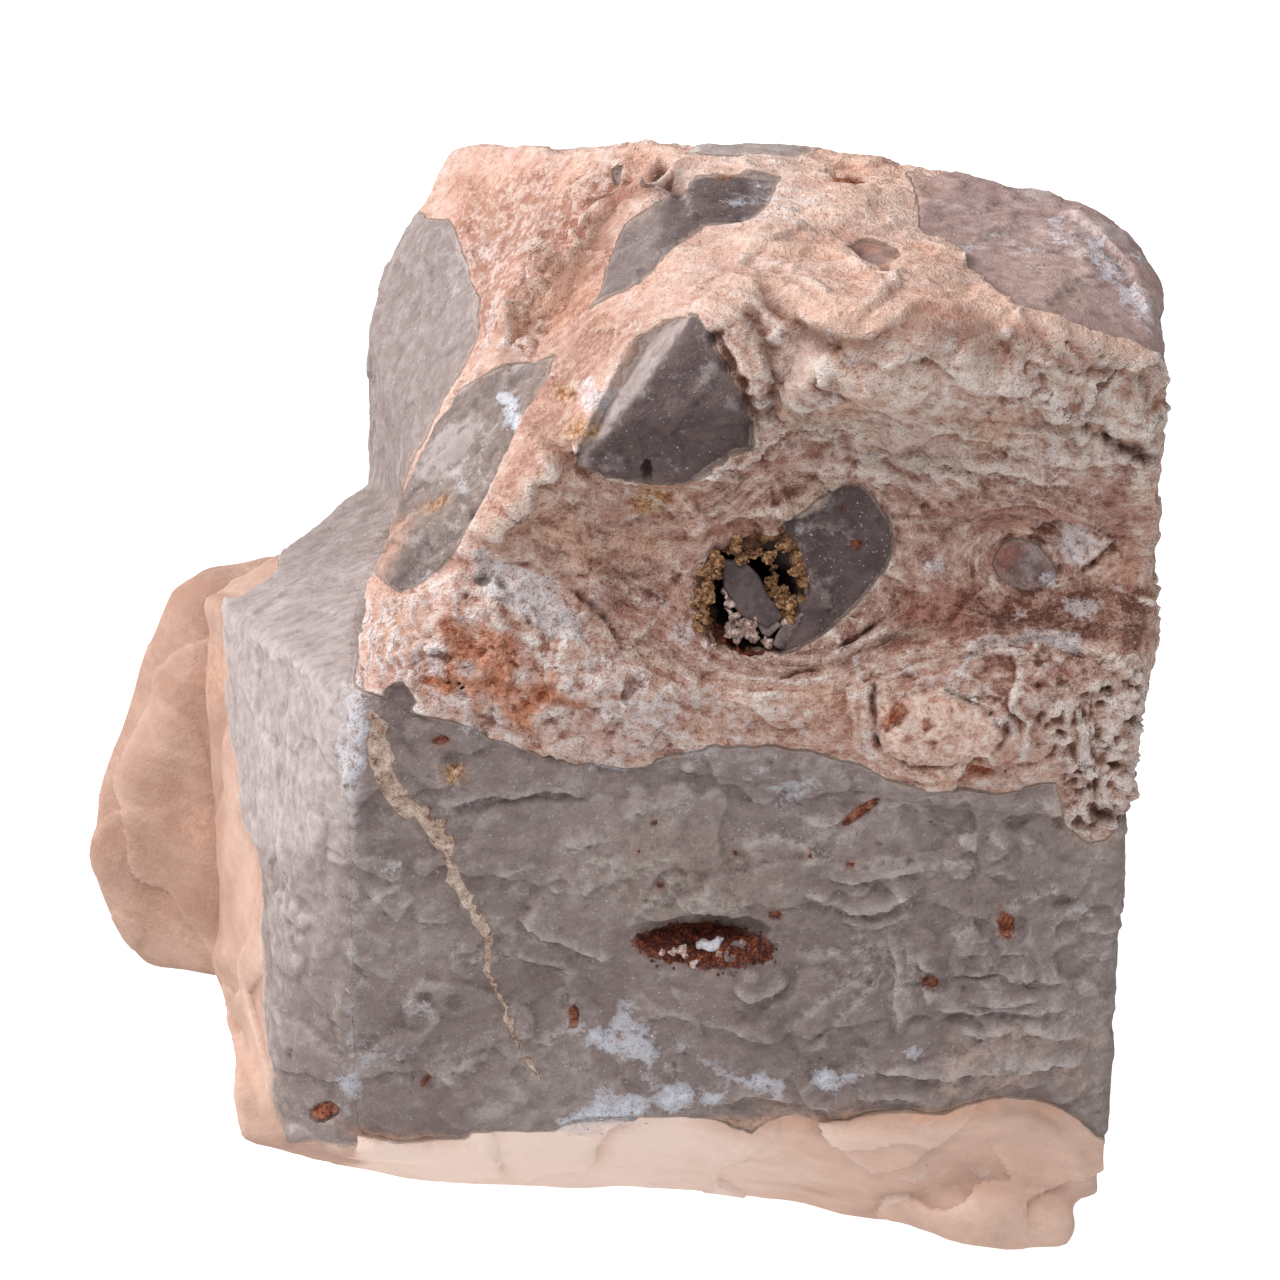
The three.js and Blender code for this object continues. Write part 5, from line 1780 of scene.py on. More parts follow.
        notes = {
            "grey": survey.grey, "skin": survey.skin, "flow": survey.flow,
            "tone": tone + 0.05 * cloud, "tint": survey.tint, "skin_tone": survey.skin_tone,
            "relief_shade": relief_shade, "band": band, "lift": lift, "calm": parts["calm"],
            "scoop": ease(-0.2, 1.0, zones["scoop"] + 0.5 * ragged),
            "pitted": ease(-0.3, 0.6, zones["pitted"]), "pebble": parts["pebble"],
            "flake": survey.clast_rough, "vug": parts["vugwall"], "vein": parts["vein"],
            "milk": noise.layered(points, 2.3, 4, 94.0),
            "edge": np.maximum(parts["edge"], 0.6 * parts["lip"] * matrix), "rim": parts["rim"],
            "rust_spot": parts["rust_spot"], "amber": parts["amber"], "lens": parts["lenswall"],
            # Painted shade in crevices, holes, the groove, the pock and the matrix's pores.
            "hollow": np.clip(parts["dark"] + 0.5 * parts["pit"] * matrix, 0, 1),
            "specks": self.specks(survey),
            "powder": washes["pale"] * (washes["pale"] > 0.3) * survey.front}
        notes |= {f"wash_{name}": share for name, share in washes.items()}
        for name, values in notes.items():
            layer = body.data.attributes.new(name, "FLOAT", "POINT")
            layer.data.foreach_set("value", values.astype(np.float32))


# Finishes


Colour = tuple[float, float, float]
Socket = bpy.types.NodeSocket


def shade(red: int, green: int, blue: int) -> tuple[float, float, float, float]:
    """A screen colour, 0 to 255, as the linear colour that a node takes."""
    parts = []
    for value in (red, green, blue):
        share = value / 255
        parts.append(share / 12.92 if share <= 0.04045 else ((share + 0.055) / 1.055) ** 2.4)
    return (parts[0], parts[1], parts[2], 1.0)


class Graph:
    """Writes shader nodes in few words."""

    def __init__(self, tree: bpy.types.NodeTree) -> None:
        """Starts on a node tree.

        Args:
            tree: The tree that the nodes go into.
        """
        self.tree = tree
        self.nodes = tree.nodes
        self.links = tree.links

    def feed(self, socket: Socket, value: object) -> None:
        """Links a socket into another, or sets its value."""
        if isinstance(value, bpy.types.NodeSocket):
            self.links.new(value, socket)
        else:
            socket.default_value = value

    def attribute(self, name: str) -> Socket:
        """A number that the mesh carries."""
        node = self.nodes.new("ShaderNodeAttribute")
        node.attribute_name = name
        return node.outputs["Fac"]

    def place(self) -> Socket:
        """Object coordinates in millimetres."""
        node = self.nodes.new("ShaderNodeTexCoord")
        return self.vector("MULTIPLY", node.outputs["Object"], (1 / MM, 1 / MM, 1 / MM))

    def math(self, operation: str, *values: object, clamp: bool = False) -> Socket:
        """One step of arithmetic."""
        node = self.nodes.new("ShaderNodeMath")
        node.operation = operation
        node.use_clamp = clamp
        for socket, value in zip(node.inputs, values):
            self.feed(socket, value)
        return node.outputs[0]

    def times(self, first: object, second: object) -> Socket:
        """The product of two numbers."""
        return self.math("MULTIPLY", first, second)

    def scaled(self, value: object, factor: object, added: object) -> Socket:
        """A number times a factor, plus another number."""
        return self.math("MULTIPLY_ADD", value, factor, added)

    def vector(self, operation: str, *values: object) -> Socket:
        """One step of vector arithmetic."""
        node = self.nodes.new("ShaderNodeVectorMath")
        node.operation = operation
        for socket, value in zip(node.inputs, values):
            self.feed(socket, value)
        return node.outputs["Vector"]

    def split(self, vector: Socket) -> tuple[Socket, Socket, Socket]:
        """The three numbers of a vector."""
        node = self.nodes.new("ShaderNodeSeparateXYZ")
        self.links.new(vector, node.inputs[0])
        return node.outputs[0], node.outputs[1], node.outputs[2]

    def join(self, x: object, y: object, z: object) -> Socket:
        """A vector of three numbers."""
        node = self.nodes.new("ShaderNodeCombineXYZ")
        for socket, value in zip(node.inputs, (x, y, z)):
            self.feed(socket, value)
        return node.outputs[0]

    def noise(self, vector: Socket, scale: float, detail: float = 3.0, rough: float = 0.55,
              warp: float = 0.0) -> Socket:
        """Noise from 0 to 1, with one lump every 1 / scale millimetres.

        Args:
            vector: Where to look, in millimetres.
            scale: Lumps in a millimetre.
            detail: How many finer layers are added.
            rough: How strong the finer layers are.
            warp: How far the pattern bends.

        Returns:
            The noise.
        """
        node = self.nodes.new("ShaderNodeTexNoise")
        self.links.new(vector, node.inputs["Vector"])
        node.inputs["Scale"].default_value = scale
        node.inputs["Detail"].default_value = detail
        node.inputs["Roughness"].default_value = rough
        node.inputs["Distortion"].default_value = warp
        return node.outputs["Fac"]

    def cells(self, vector: Socket, scale: float, feature: str = "F1") -> tuple[Socket, Socket]:
        """Cell distances and one random number for each cell.

        Args:
            vector: Where to look, in millimetres.
            scale: Cells in a millimetre.
            feature: Which distance is measured.

        Returns:
            The distance and the random number.
        """
        node = self.nodes.new("ShaderNodeTexVoronoi")
        node.feature = feature
        self.links.new(vector, node.inputs["Vector"])
        node.inputs["Scale"].default_value = scale
        number = self.nodes.new("ShaderNodeSeparateColor")
        self.links.new(node.outputs["Color"], number.inputs[0])
        return node.outputs["Distance"], number.outputs[0]

    def above(self, value: object, edge: object, soft: float) -> Socket:
        """0 below the edge and 1 above it, with a soft step between."""
        gap = self.math("SUBTRACT", value, edge)
        return self.math("MULTIPLY_ADD", gap, 1 / soft, 0.5, clamp=True)

    def step(self, value: object, low: float, high: float, out: float = 1.0) -> Socket:
        """A smooth step from 0 at low to out at high. Low may be above high.

        Args:
            value: The number to step.
            low: Where the step starts.
            high: Where the step ends.
            out: The height of the step.

        Returns:
            The stepped number.
        """
        node = self.nodes.new("ShaderNodeMapRange")
        node.interpolation_type = "SMOOTHSTEP"
        self.feed(node.inputs["Value"], value)
        node.inputs["From Min"].default_value = low
        node.inputs["From Max"].default_value = high
        node.inputs["To Max"].default_value = out
        return node.outputs[0]

    def line(self, value: Socket, width: float) -> Socket:
        """1 where a value crosses zero, falling to 0 at the width."""
        return self.step(self.math("ABSOLUTE", value), width, width * 0.2)

    def mix(self, share: object, first: object, second: object, mode: str = "MIX") -> Socket:
        """Two colours mixed.

        Args:
            share: How much of the second colour there is.
            first: The first colour.
            second: The second colour.
            mode: How they mix.

        Returns:
            The mixed colour.
        """
        node = self.nodes.new("ShaderNodeMix")
        node.data_type = "RGBA"
        node.blend_type = mode
        self.feed(node.inputs["Factor"], share)
        self.feed(node.inputs["A"], first)
        self.feed(node.inputs["B"], second)
        return node.outputs["Result"]

    def ramp(self, value: Socket, *stops: tuple[float, tuple[float, ...]]) -> Socket:
        """A run of colours along a value."""
        node = self.nodes.new("ShaderNodeValToRGB")
        self.links.new(value, node.inputs[0])
        elements = node.color_ramp.elements
        while len(elements) < len(stops):
            elements.new(0.5)
        for element, (position, colour) in zip(elements, stops):
            element.position = position
            element.color = colour
        return node.outputs["Color"]

    def group(self, tree: bpy.types.NodeTree, **values: object) -> bpy.types.Node:
        """A node group placed with its own values."""
        node = self.nodes.new("ShaderNodeGroup")
        node.node_tree = tree
        for name, value in values.items():
            self.feed(node.inputs[name], value)
        return node


def open_group(
    name: str, inputs: dict[str, str], outputs: dict[str, str]
) -> tuple[Graph, bpy.types.Node, bpy.types.Node]:
    """Starts a shader node group.

    Args:
        name: The group's name.
        inputs: The kind of socket for each input name.
        outputs: The kind of socket for each output name.

    Returns:
        The graph to write in, and the group's input and output nodes.
    """
    tree = bpy.data.node_groups.new(name, "ShaderNodeTree")
    for socket, kind in inputs.items():
        tree.interface.new_socket(socket, in_out="INPUT", socket_type=f"NodeSocket{kind}")
    for socket, kind in outputs.items():
        tree.interface.new_socket(socket, in_out="OUTPUT", socket_type=f"NodeSocket{kind}")
    graph = Graph(tree)
    return graph, tree.nodes.new("NodeGroupInput"), tree.nodes.new("NodeGroupOutput")


def grain_group() -> bpy.types.NodeTree:
    """Fine grain of rock: a soft crumb and a sharp grain.

    Returns:
        The node group.
    """
    graph, given, put = open_group(
        "rock_grain", {"Place": "Vector", "Coarseness": "Float"},
        {"Grain": "Float", "Crumb": "Float"})
    place = graph.vector("SCALE", given.outputs["Place"])
    scale = place.node.inputs["Scale"]
    graph.links.new(graph.math("DIVIDE", 1.0, given.outputs["Coarseness"]), scale)
    graph.feed(put.inputs["Grain"], graph.noise(place, 8.0, 1, 0.7))
    graph.feed(put.inputs["Crumb"], graph.noise(place, 2.4, 3, 0.8))
    return graph.tree


def streak_group() -> bpy.types.NodeTree:
    """Streaks that follow the flow in the matrix and the slant in grey rock.

    Returns:
        The node group.
    """
    graph, given, put = open_group(
        "rock_streaks", {"Place": "Vector", "Flow": "Float", "Grey": "Float", "Skin": "Float"},
        {"Streak": "Float", "Fibre": "Float"})
    x, y, z = graph.split(given.outputs["Place"])
    flowing = graph.join(graph.times(x, 0.36), given.outputs["Flow"], graph.times(y, 0.36))
    slanted = graph.join(
        graph.scaled(z, 0.3, graph.times(x, 0.45)), graph.scaled(x, -0.35, graph.times(z, 0.75)),
        graph.times(y, 0.7))
    layered = graph.join(
        graph.times(x, 0.16), graph.scaled(x, 0.12, graph.times(z, 0.55)), graph.times(y, 0.2))
    way = graph.mix(given.outputs["Skin"], flowing, layered)
    way = graph.mix(given.outputs["Grey"], way, slanted)
    graph.feed(put.inputs["Streak"], graph.noise(way, 2.6, 3, 0.66))
    graph.feed(put.inputs["Fibre"], graph.noise(way, 7.5, 2, 0.7))
    return graph.tree


@dataclass(frozen=True)
class StoneFinish:
    """The finish of the broken stone: grey rock, banded matrix and skin."""

    grain: bpy.types.NodeTree
    streaks: bpy.types.NodeTree
    name: str = "leopardite"

    def build(self) -> bpy.types.Material:
        """Makes the material.

        Returns:
            The material.
        """
        material = bpy.data.materials.new(self.name)
        material.use_nodes = True
        graph = Graph(material.node_tree)
        shader = graph.nodes["Principled BSDF"]
        shader.inputs["Specular IOR Level"].default_value = 0.35
        place = graph.place()
        fine = graph.group(self.grain, Place=place, Coarseness=1.0)
        grain, crumb = fine.outputs["Grain"], fine.outputs["Crumb"]
        ragged = graph.scaled(crumb, 0.26, -0.13)
        inside = graph.math("ADD", graph.attribute("grey"), ragged)
        greyness = graph.step(inside, -0.025, 0.025)
        outer = graph.math("ADD", graph.attribute("skin"), ragged)
        skinness = graph.step(outer, -0.1, 0.1)
        way = graph.group(
            self.streaks, Place=place, Flow=graph.attribute("flow"),
            Grey=graph.step(graph.attribute("grey"), -0.05, 0.05),
            Skin=graph.step(graph.attribute("skin"), -0.1, 0.1))
        streak, fibre = way.outputs["Streak"], way.outputs["Fibre"]
        base = graph.mix(
            skinness, self.matrix(graph, grain, crumb, streak, fibre),
            self.skin(graph, crumb, streak))
        rim = graph.times(graph.line(inside, 0.1), 0.35)
        base = graph.mix(greyness, base, self.grey(graph, grain, crumb, streak))
        base = graph.mix(rim, base, shade(226, 200, 184))
        colour, loose = self.marks(graph, crumb, greyness, base)
        graph.feed(shader.inputs["Base Color"], colour)
        rough = graph.scaled(greyness, -0.14, 0.84)
        rough = graph.scaled(grain, 0.14, rough)
        graph.feed(shader.inputs["Roughness"], rough)
        strong = graph.scaled(greyness, -0.55, 1.0)
        strong = graph.times(strong, graph.scaled(skinness, -0.75, 1.0))
        quiet = graph.scaled(graph.attribute("calm"), -0.5, 1.0)
        strong = graph.math("MAXIMUM", graph.times(strong, quiet), loose)
        height = graph.scaled(fibre, 0.8, graph.times(streak, 1.6))
        height = graph.scaled(crumb, 3.6, height)
        height = graph.scaled(grain, 0.9, height)
        height = graph.times(height, strong)
        bump_node = graph.nodes.new("ShaderNodeBump")
        bump_node.inputs["Strength"].default_value = 1.0
        bump_node.inputs["Distance"].default_value = 0.1 * MM
        graph.feed(bump_node.inputs["Height"], height)
        graph.feed(shader.inputs["Normal"], bump_node.outputs["Normal"])
        return material

    @staticmethod
    def grey(graph: Graph, grain: Socket, crumb: Socket, streak: Socket) -> Socket:
        """The colour of the grey rock.

        Args:
            graph: The graph that takes the nodes.
            grain: Sharp noise, finer than the crumb.
            crumb: Soft noise, coarser than the grain.
            streak: Streaks along the flow or the slant.

        Returns:
            The colour.
        """
        value = graph.scaled(streak, 0.44, graph.times(crumb, 0.16))
        value = graph.scaled(grain, 0.12, value)
        value = graph.math("ADD", value, graph.math("ADD", graph.attribute("tone"), -0.36))
        relief_shade = graph.attribute("relief_shade")
        # Painted light and shade: crests of the relief lighter, hollows darker.
        value = graph.scaled(relief_shade, 1.5, value)
        colour = graph.ramp(
            value, (0.0, shade(80, 65, 65)), (0.25, shade(108, 92, 90)),
            (0.5, shade(142, 127, 123)), (0.75, shade(179, 166, 164)),
            (1.0, shade(212, 203, 202)))
        tint = graph.attribute("tint")
        pink = graph.times(graph.step(tint, 0.0, 1.0), 0.8)
        green = graph.times(graph.step(tint, 0.0, -1.0), 0.6)
        colour = graph.mix(pink, colour, graph.mix(1.0, colour, shade(255, 228, 222), "MULTIPLY"))
        colour = graph.mix(green, colour, graph.mix(1.0, colour, shade(250, 250, 230), "MULTIPLY"))
        milk = graph.scaled(crumb, 1.4, graph.attribute("milk"))
        smudge = graph.times(graph.step(milk, 1.1, 1.6), 0.28)
        colour = graph.mix(smudge, colour, shade(204, 195, 194))
        flaky = graph.times(graph.attribute("flake"), graph.step(milk, 0.85, 1.5))
        colour = graph.mix(graph.times(flaky, 0.2), colour, shade(214, 206, 206))
        # The pale lines along broken edges are partly crushed rock and partly a painted highlight
        # on the lit edge.
        lines = graph.times(graph.attribute("edge"), graph.step(crumb, 0.42, 0.58))
        colour = graph.mix(graph.times(lines, 0.5), colour, shade(206, 196, 190))
        flecks = graph.times(graph.step(grain, 0.66, 0.72), graph.step(crumb, 0.42, 0.6))
        colour = graph.mix(graph.times(flecks, 0.5), colour, shade(204, 196, 192))
        # Dark pricks: painted shade in tiny pores.
        pricks = graph.times(graph.step(grain, 0.33, 0.27), graph.step(crumb, 0.58, 0.4))
        return graph.mix(graph.times(pricks, 0.4), colour, shade(74, 58, 56))

    @staticmethod
    def matrix(
        graph: Graph, grain: Socket, crumb: Socket, streak: Socket, fibre: Socket
    ) -> Socket:
        """The colour of the flow-banded matrix.

        Args:
            graph: The graph that takes the nodes.
            grain: Sharp noise, finer than the crumb.
            crumb: Soft noise, coarser than the grain.
            streak: Streaks along the flow or the slant.
            fibre: Finer streaks along the same way.

        Returns:
            The colour.
        """
        relief_shade = graph.attribute("relief_shade")
        value = graph.scaled(graph.attribute("band"), 0.16, 0.5)
        base = graph.math("ADD", value, graph.attribute("lift"))
        value = graph.scaled(graph.math("ADD", streak, -0.5), 1.15, value)
        value = graph.scaled(graph.math("ADD", fibre, -0.5), 0.35, value)
        value = graph.scaled(graph.math("ADD", crumb, -0.5), 1.05, value)
        value = graph.scaled(graph.math("ADD", grain, -0.5), 0.4, value)
        # Painted light and shade: crests of the relief lighter, hollows darker.
        value = graph.scaled(relief_shade, 2.3, value)
        value = graph.math("ADD", value, graph.attribute("lift"))
        quiet = graph.times(graph.attribute("calm"), 0.55)
        kept = graph.times(value, graph.math("SUBTRACT", 1.0, quiet))
        value = graph.scaled(base, quiet, kept)
        pale = graph.ramp(
            value, (0.08, shade(164, 116, 100)), (0.32, shade(196, 154, 138)),
            (0.52, shade(208, 175, 162)), (0.72, shade(222, 198, 187)),
            (0.95, shade(236, 222, 216)))
        brown = graph.ramp(
            value, (0.05, shade(104, 66, 54)), (0.28, shade(148, 108, 96)),
            (0.5, shade(176, 141, 128)), (0.72, shade(202, 174, 162)),
            (0.95, shade(228, 210, 202)))
        colour = graph.mix(graph.attribute("scoop"), pale, brown)
        ashen = graph.ramp(
            value, (0.1, shade(120, 82, 70)), (0.4, shade(174, 139, 126)),
            (0.65, shade(209, 182, 170)), (0.9, shade(232, 214, 206)))
        colour = graph.mix(graph.times(graph.attribute("pitted"), 0.7), colour, ashen)
        # The pale lines along ledge lips are partly crushed rock and partly a painted highlight on
        # the lit edge.
        lips = graph.times(graph.attribute("edge"), graph.step(crumb, 0.3, 0.5))
        colour = graph.mix(graph.times(lips, 0.8), colour, shade(232, 204, 186))
        lines = graph.line(graph.math("ADD", fibre, -0.5), 0.022)
        lines = graph.times(lines, graph.step(crumb, 0.42, 0.62))
        colour = graph.mix(graph.times(lines, 0.55), colour, shade(240, 224, 214))
        # Dark pricks: painted shade in tiny pores.
        pricks = graph.times(graph.step(grain, 0.36, 0.28), graph.step(crumb, 0.6, 0.4))
        return graph.mix(graph.times(pricks, 0.6), colour, shade(104, 64, 50))

    @staticmethod
    def skin(graph: Graph, crumb: Socket, streak: Socket) -> Socket:
        """The colour of the smooth peach skin.

        Args:
            graph: The graph that takes the nodes.
            crumb: Soft noise, coarser than the grain.
            streak: Streaks along the flow or the slant.

        Returns:
            The colour.
        """
        value = graph.scaled(streak, 0.16, graph.times(crumb, 0.12))
        value = graph.math("ADD", value, 0.04)
        value = graph.scaled(graph.attribute("skin_tone"), 0.9, value)
        # Painted light and shade: crests of the relief lighter, hollows darker.
        value = graph.scaled(graph.attribute("relief_shade"), 0.8, value)
        value = graph.scaled(graph.attribute("milk"), 0.06, value)
        return graph.ramp(
            value, (0.3, shade(168, 132, 115)), (0.46, shade(199, 166, 150)),
            (0.6, shade(227, 192, 175)), (0.78, shade(244, 219, 206)))

    @staticmethod
    def marks(graph: Graph, crumb: Socket, greyness: Socket, colour: Socket) -> tuple[Socket,
              Socket]:
        """The washes, veins and rust that lie over every rock, with painted shade in the hollows
        and the vug.

        Args:
            graph: The material's graph.
            crumb: Noise that breaks the marks up.
            greyness: 1 on grey rock.
            colour: The colour below.

        Returns:
            The finished colour, and how loose and crumbly the surface is.
        """
        open_grain = graph.step(crumb, 0.3, 0.62)
        softened = graph.scaled(open_grain, 0.7, 0.3)
        washes = (
            (Hue.OLIVE_AND_SHADE, shade(140, 121, 104), shade(176, 158, 142)),
            (Hue.ORANGE, shade(208, 144, 112), shade(232, 180, 150)),
            (Hue.PEACH, shade(200, 156, 134), shade(224, 188, 170)),
            (Hue.BROWN, shade(98, 62, 48), shade(150, 110, 92)),
            (Hue.RED, shade(128, 66, 52), shade(176, 112, 94)),
            (Hue.TAN, shade(158, 132, 118), shade(206, 180, 164)),
            (Hue.PALE, shade(202, 183, 179), shade(234, 229, 233)),
            (Hue.RUST, shade(140, 64, 28), shade(210, 130, 84)),
            # This wash is painted shade.
            (Hue.DARK, shade(70, 48, 42), shade(92, 70, 64)))
        for hue, deep, light in washes:
            if hue is Hue.PALE:
                deep = graph.mix(greyness, deep, shade(194, 190, 198))
                light = graph.mix(greyness, light, shade(226, 231, 244))
            share = graph.attribute(f"wash_{hue.value}")
            if hue in (Hue.PALE, Hue.RUST):
                edge = graph.math("SUBTRACT", 0.66, graph.times(share, 0.5))
                share = graph.times(share, graph.above(crumb, edge, 0.14))
            else:
                share = graph.times(share, softened)
            colour = graph.mix(share, colour, graph.mix(open_grain, deep, light))
        vein = graph.step(graph.attribute("vein"), -0.03, 0.03)
        veined = graph.ramp(
            crumb, (0.32, shade(124, 86, 68)), (0.4, shade(180, 148, 130)),
            (0.52, shade(208, 182, 164)), (0.68, shade(230, 212, 198)))
        colour = graph.mix(graph.times(vein, 0.9), colour, veined)
        rim = graph.times(graph.attribute("rim"), graph.step(crumb, 0.34, 0.5))
        colour = graph.mix(graph.times(rim, 0.4), colour, shade(206, 200, 204))
        pebble = graph.step(graph.attribute("pebble"), 0.0, 0.3)
        pebbled = graph.ramp(
            crumb, (0.34, shade(170, 116, 98)), (0.46, shade(204, 166, 151)),
            (0.6, shade(232, 210, 198)))
        colour = graph.mix(graph.times(pebble, 0.85), colour, pebbled)
        for name, strength, deep, middle, light in (
            ("amber", 0.85, shade(96, 56, 28), shade(176, 122, 68), shade(206, 188, 170)),
            ("rust_spot", 0.95, shade(88, 36, 20), shade(146, 74, 42), shade(188, 120, 88)),
            ("lens", 0.95, shade(46, 16, 10), shade(104, 42, 22), shade(172, 96, 60)),
        ):
            spotted = graph.ramp(crumb, (0.38, deep), (0.5, middle), (0.63, light))
            share = graph.times(graph.attribute(name), strength)
            colour = graph.mix(share, colour, spotted)
        # Painted shade: crevices, holes and pores darkened.
        hollow = graph.times(graph.attribute("hollow"), 0.75)
        colour = graph.mix(hollow, colour, shade(70, 46, 38))
        # Painted shade: the crust at the vug's mouth goes near black deeper in.
        mouth = graph.attribute("vug")
        crusted = graph.ramp(
            crumb, (0.36, shade(48, 26, 16)), (0.48, shade(98, 62, 38)),
            (0.62, shade(156, 118, 84)))
        deep = graph.mix(graph.step(mouth, 0.15, 0.55), crusted, shade(26, 13, 9))
        colour = graph.mix(graph.step(mouth, -0.04, 0.04), colour, deep)
        loose = graph.math("MAXIMUM", vein, graph.attribute("lens"))
        loose = graph.math("MAXIMUM", loose, graph.attribute("rust_spot"))
        return colour, graph.math("MAXIMUM", loose, graph.attribute("wash_pale"))


# Pieces in the hollows, and loose grains


@dataclass(frozen=True)
class CrumbFinish:
    """A crumbly mineral: three shades picked by the grain."""

    grain: bpy.types.NodeTree
    name: str
    deep: Colour
    middle: Colour
    light: Colour
    coarseness: float = 0.5
    rough: float = 0.75

    def build(self) -> bpy.types.Material:
        """Makes the material.

        Returns:
            The material.
        """
        material = bpy.data.materials.new(self.name)
        material.use_nodes = True
        graph = Graph(material.node_tree)
        shader = graph.nodes["Principled BSDF"]
        fine = graph.group(self.grain, Place=graph.place(), Coarseness=self.coarseness)
        stops = ((0.36, self.deep), (0.5, self.middle), (0.64, self.light))
        colour = graph.ramp(fine.outputs["Crumb"], *((at, shade(*tone)) for at, tone in stops))
        graph.feed(shader.inputs["Base Color"], colour)
        rough = graph.scaled(fine.outputs["Grain"], 0.2, self.rough - 0.1)
        graph.feed(shader.inputs["Roughness"], rough)
        bump_node = graph.nodes.new("ShaderNodeBump")
        bump_node.inputs["Distance"].default_value = 0.05 * MM
        graph.feed(bump_node.inputs["Height"], fine.outputs["Grain"])
        graph.feed(shader.inputs["Normal"], bump_node.outputs["Normal"])
        return material


@dataclass
class Ground:
    """Finds the stone's surface behind the leaning plane."""

    plane: LeaningPlane
    body: bpy.types.Object

    def __post_init__(self) -> None:
        """Makes the search tree of the stone's mesh."""
        depsgraph = bpy.context.evaluated_depsgraph_get()
        self.tree = BVHTree.FromObject(self.body, depsgraph)

    def lift(self, across: float, up: float, depth: float) -> Vector:
        """A place on the leaning plane as a point in metres."""
        axes = self.plane.axes()
        point = self.plane.foot() + across * axes[0] + up * axes[1] + depth * axes[2]
        return Vector(point) * MM

    def depth(self, across: float, up: float) -> float:
        """How far behind the plane the surface lies, in millimetres.

        Args:
            across: Millimetres across the plane.
            up: Millimetres up the plane.

        Returns:
            The depth in millimetres.
        """
        start = -40.0
        inward = Vector(self.plane.axes()[2])
        _, _, _, distance = self.tree.ray_cast(self.lift(across, up, start), inward)
        return start + (distance or 0.0) / MM

    def rim(self, outline: tuple[Point2, ...], outset: float = 0.35) -> Array:
        """The plane that lies over a hollow's rim.

        Args:
            outline: The hollow's outline.
            outset: How far outside it the rim is measured, in millimetres.

        Returns:
            Three numbers: depth is the first, plus the second for each
            millimetre across and the third for each millimetre up.
        """
        corners = np.array(outline)
        middle = corners.mean(0)
        reach = np.linalg.norm(corners - middle, axis=1)[:, None]
        around = middle + (corners - middle) * (1 + outset / reach)
        depths = np.array([self.depth(*place) for place in around])
        table = np.column_stack([np.ones(len(around)), around])
        kept = np.abs(depths - np.median(depths)) < 1.5
        return np.linalg.lstsq(table[kept], depths[kept], rcond=None)[0]


def finished(name: str, work: bmesh.types.BMesh, material: bpy.types.Material) -> bpy.types.Object:
    """Turns a bmesh into an object with a finish, and frees the bmesh.

    Args:
        name: Its name.
        work: The shape, in metres.
        material: Its finish.

    Returns:
        The object, in the scene.
    """
    mesh = bpy.data.meshes.new(name)
    work.to_mesh(mesh)
    work.free()
    mesh.materials.append(material)
    piece = bpy.data.objects.new(name, mesh)
    bpy.context.scene.collection.objects.link(piece)
    return piece


def claim(piece: bpy.types.Object) -> bpy.types.Object:
    """Fixes a finished piece to the stone and reports it.

    Args:
        piece: The finished piece.

    Returns:
        The same piece.
    """
    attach(piece, BODY)
    LOG.info("%s: %d faces", piece.name, len(piece.data.polygons))
    return piece


@dataclass
class Slab:
    """A flat-topped piece of rock stuck in a hollow."""

    name: str
    outline: tuple[Point2, ...]
    sunk: float
    deep: float
    lean: Point2 = (0.0, 0.0)
    voxel: float = 0.06
    rough: float = 0.03

    def build(
        self, ground: Ground, rim: Array, noise: RockNoise, material: bpy.types.Material
    ) -> bpy.types.Object:
        """Makes the slab.

        Args:
            ground: Finds the stone's surface.
            rim: The plane over the hollow's rim.
            noise: Roughens the faces.
            material: The finish.

        Returns:
            The finished piece.
        """
        middle = np.array(self.outline).mean(0)
        work = bmesh.new()
        rings = []
        for drop, shrink in ((0.0, 0.94), (0.12, 1.0), (self.deep, 0.8)):
            ring = []
            for across, up in self.outline:
                x, y = across - middle[0], up - middle[1]
                level = rim @ (1, across, up) + self.sunk + self.lean[0] * x + self.lean[1] * y
                place = (middle[0] + x * shrink, middle[1] + y * shrink)
                ring.append(work.verts.new(ground.lift(*place, level + drop) / MM))
            rings.append(ring)
        count = len(self.outline)
        work.faces.new(rings[0])
        work.faces.new(rings[-1][::-1])
        for upper, lower in zip(rings[:-1], rings[1:]):
            for i in range(count):
                j = (i + 1) % count
                work.faces.new((upper[j], upper[i], lower[i], lower[j]))
        bmesh.ops.recalc_face_normals(work, faces=work.faces)
        piece = finished(self.name, work, material)
        return roughened(piece, self.voxel, self.rough, 0.9, noise)


def roughened(
    piece: bpy.types.Object, voxel: float, rough: float, size: float, noise: RockNoise
) -> bpy.types.Object:
    """Remeshes a piece given in millimetres, roughens it and scales it to metres.

    Args:
        piece: The piece.
        voxel: The size of its quads.
        rough: How far its surface moves.
        size: The width of the roughness.
        noise: The noise that moves it.

    Returns:
        The same piece.
    """
    cut = piece.modifiers.new("cut", "REMESH")
    cut.mode = "VOXEL"
    cut.voxel_size = voxel
    StoneBody.bake(piece)
    points, normals = StoneBody.read(piece)
    moved = points + normals * (rough * noise.layered(points, size, 4, 5.0))[:, None]
    piece.data.vertices.foreach_set("co", (moved * MM).astype(np.float32).ravel())
    piece.data.update()
    piece.data.shade_smooth()
    return piece


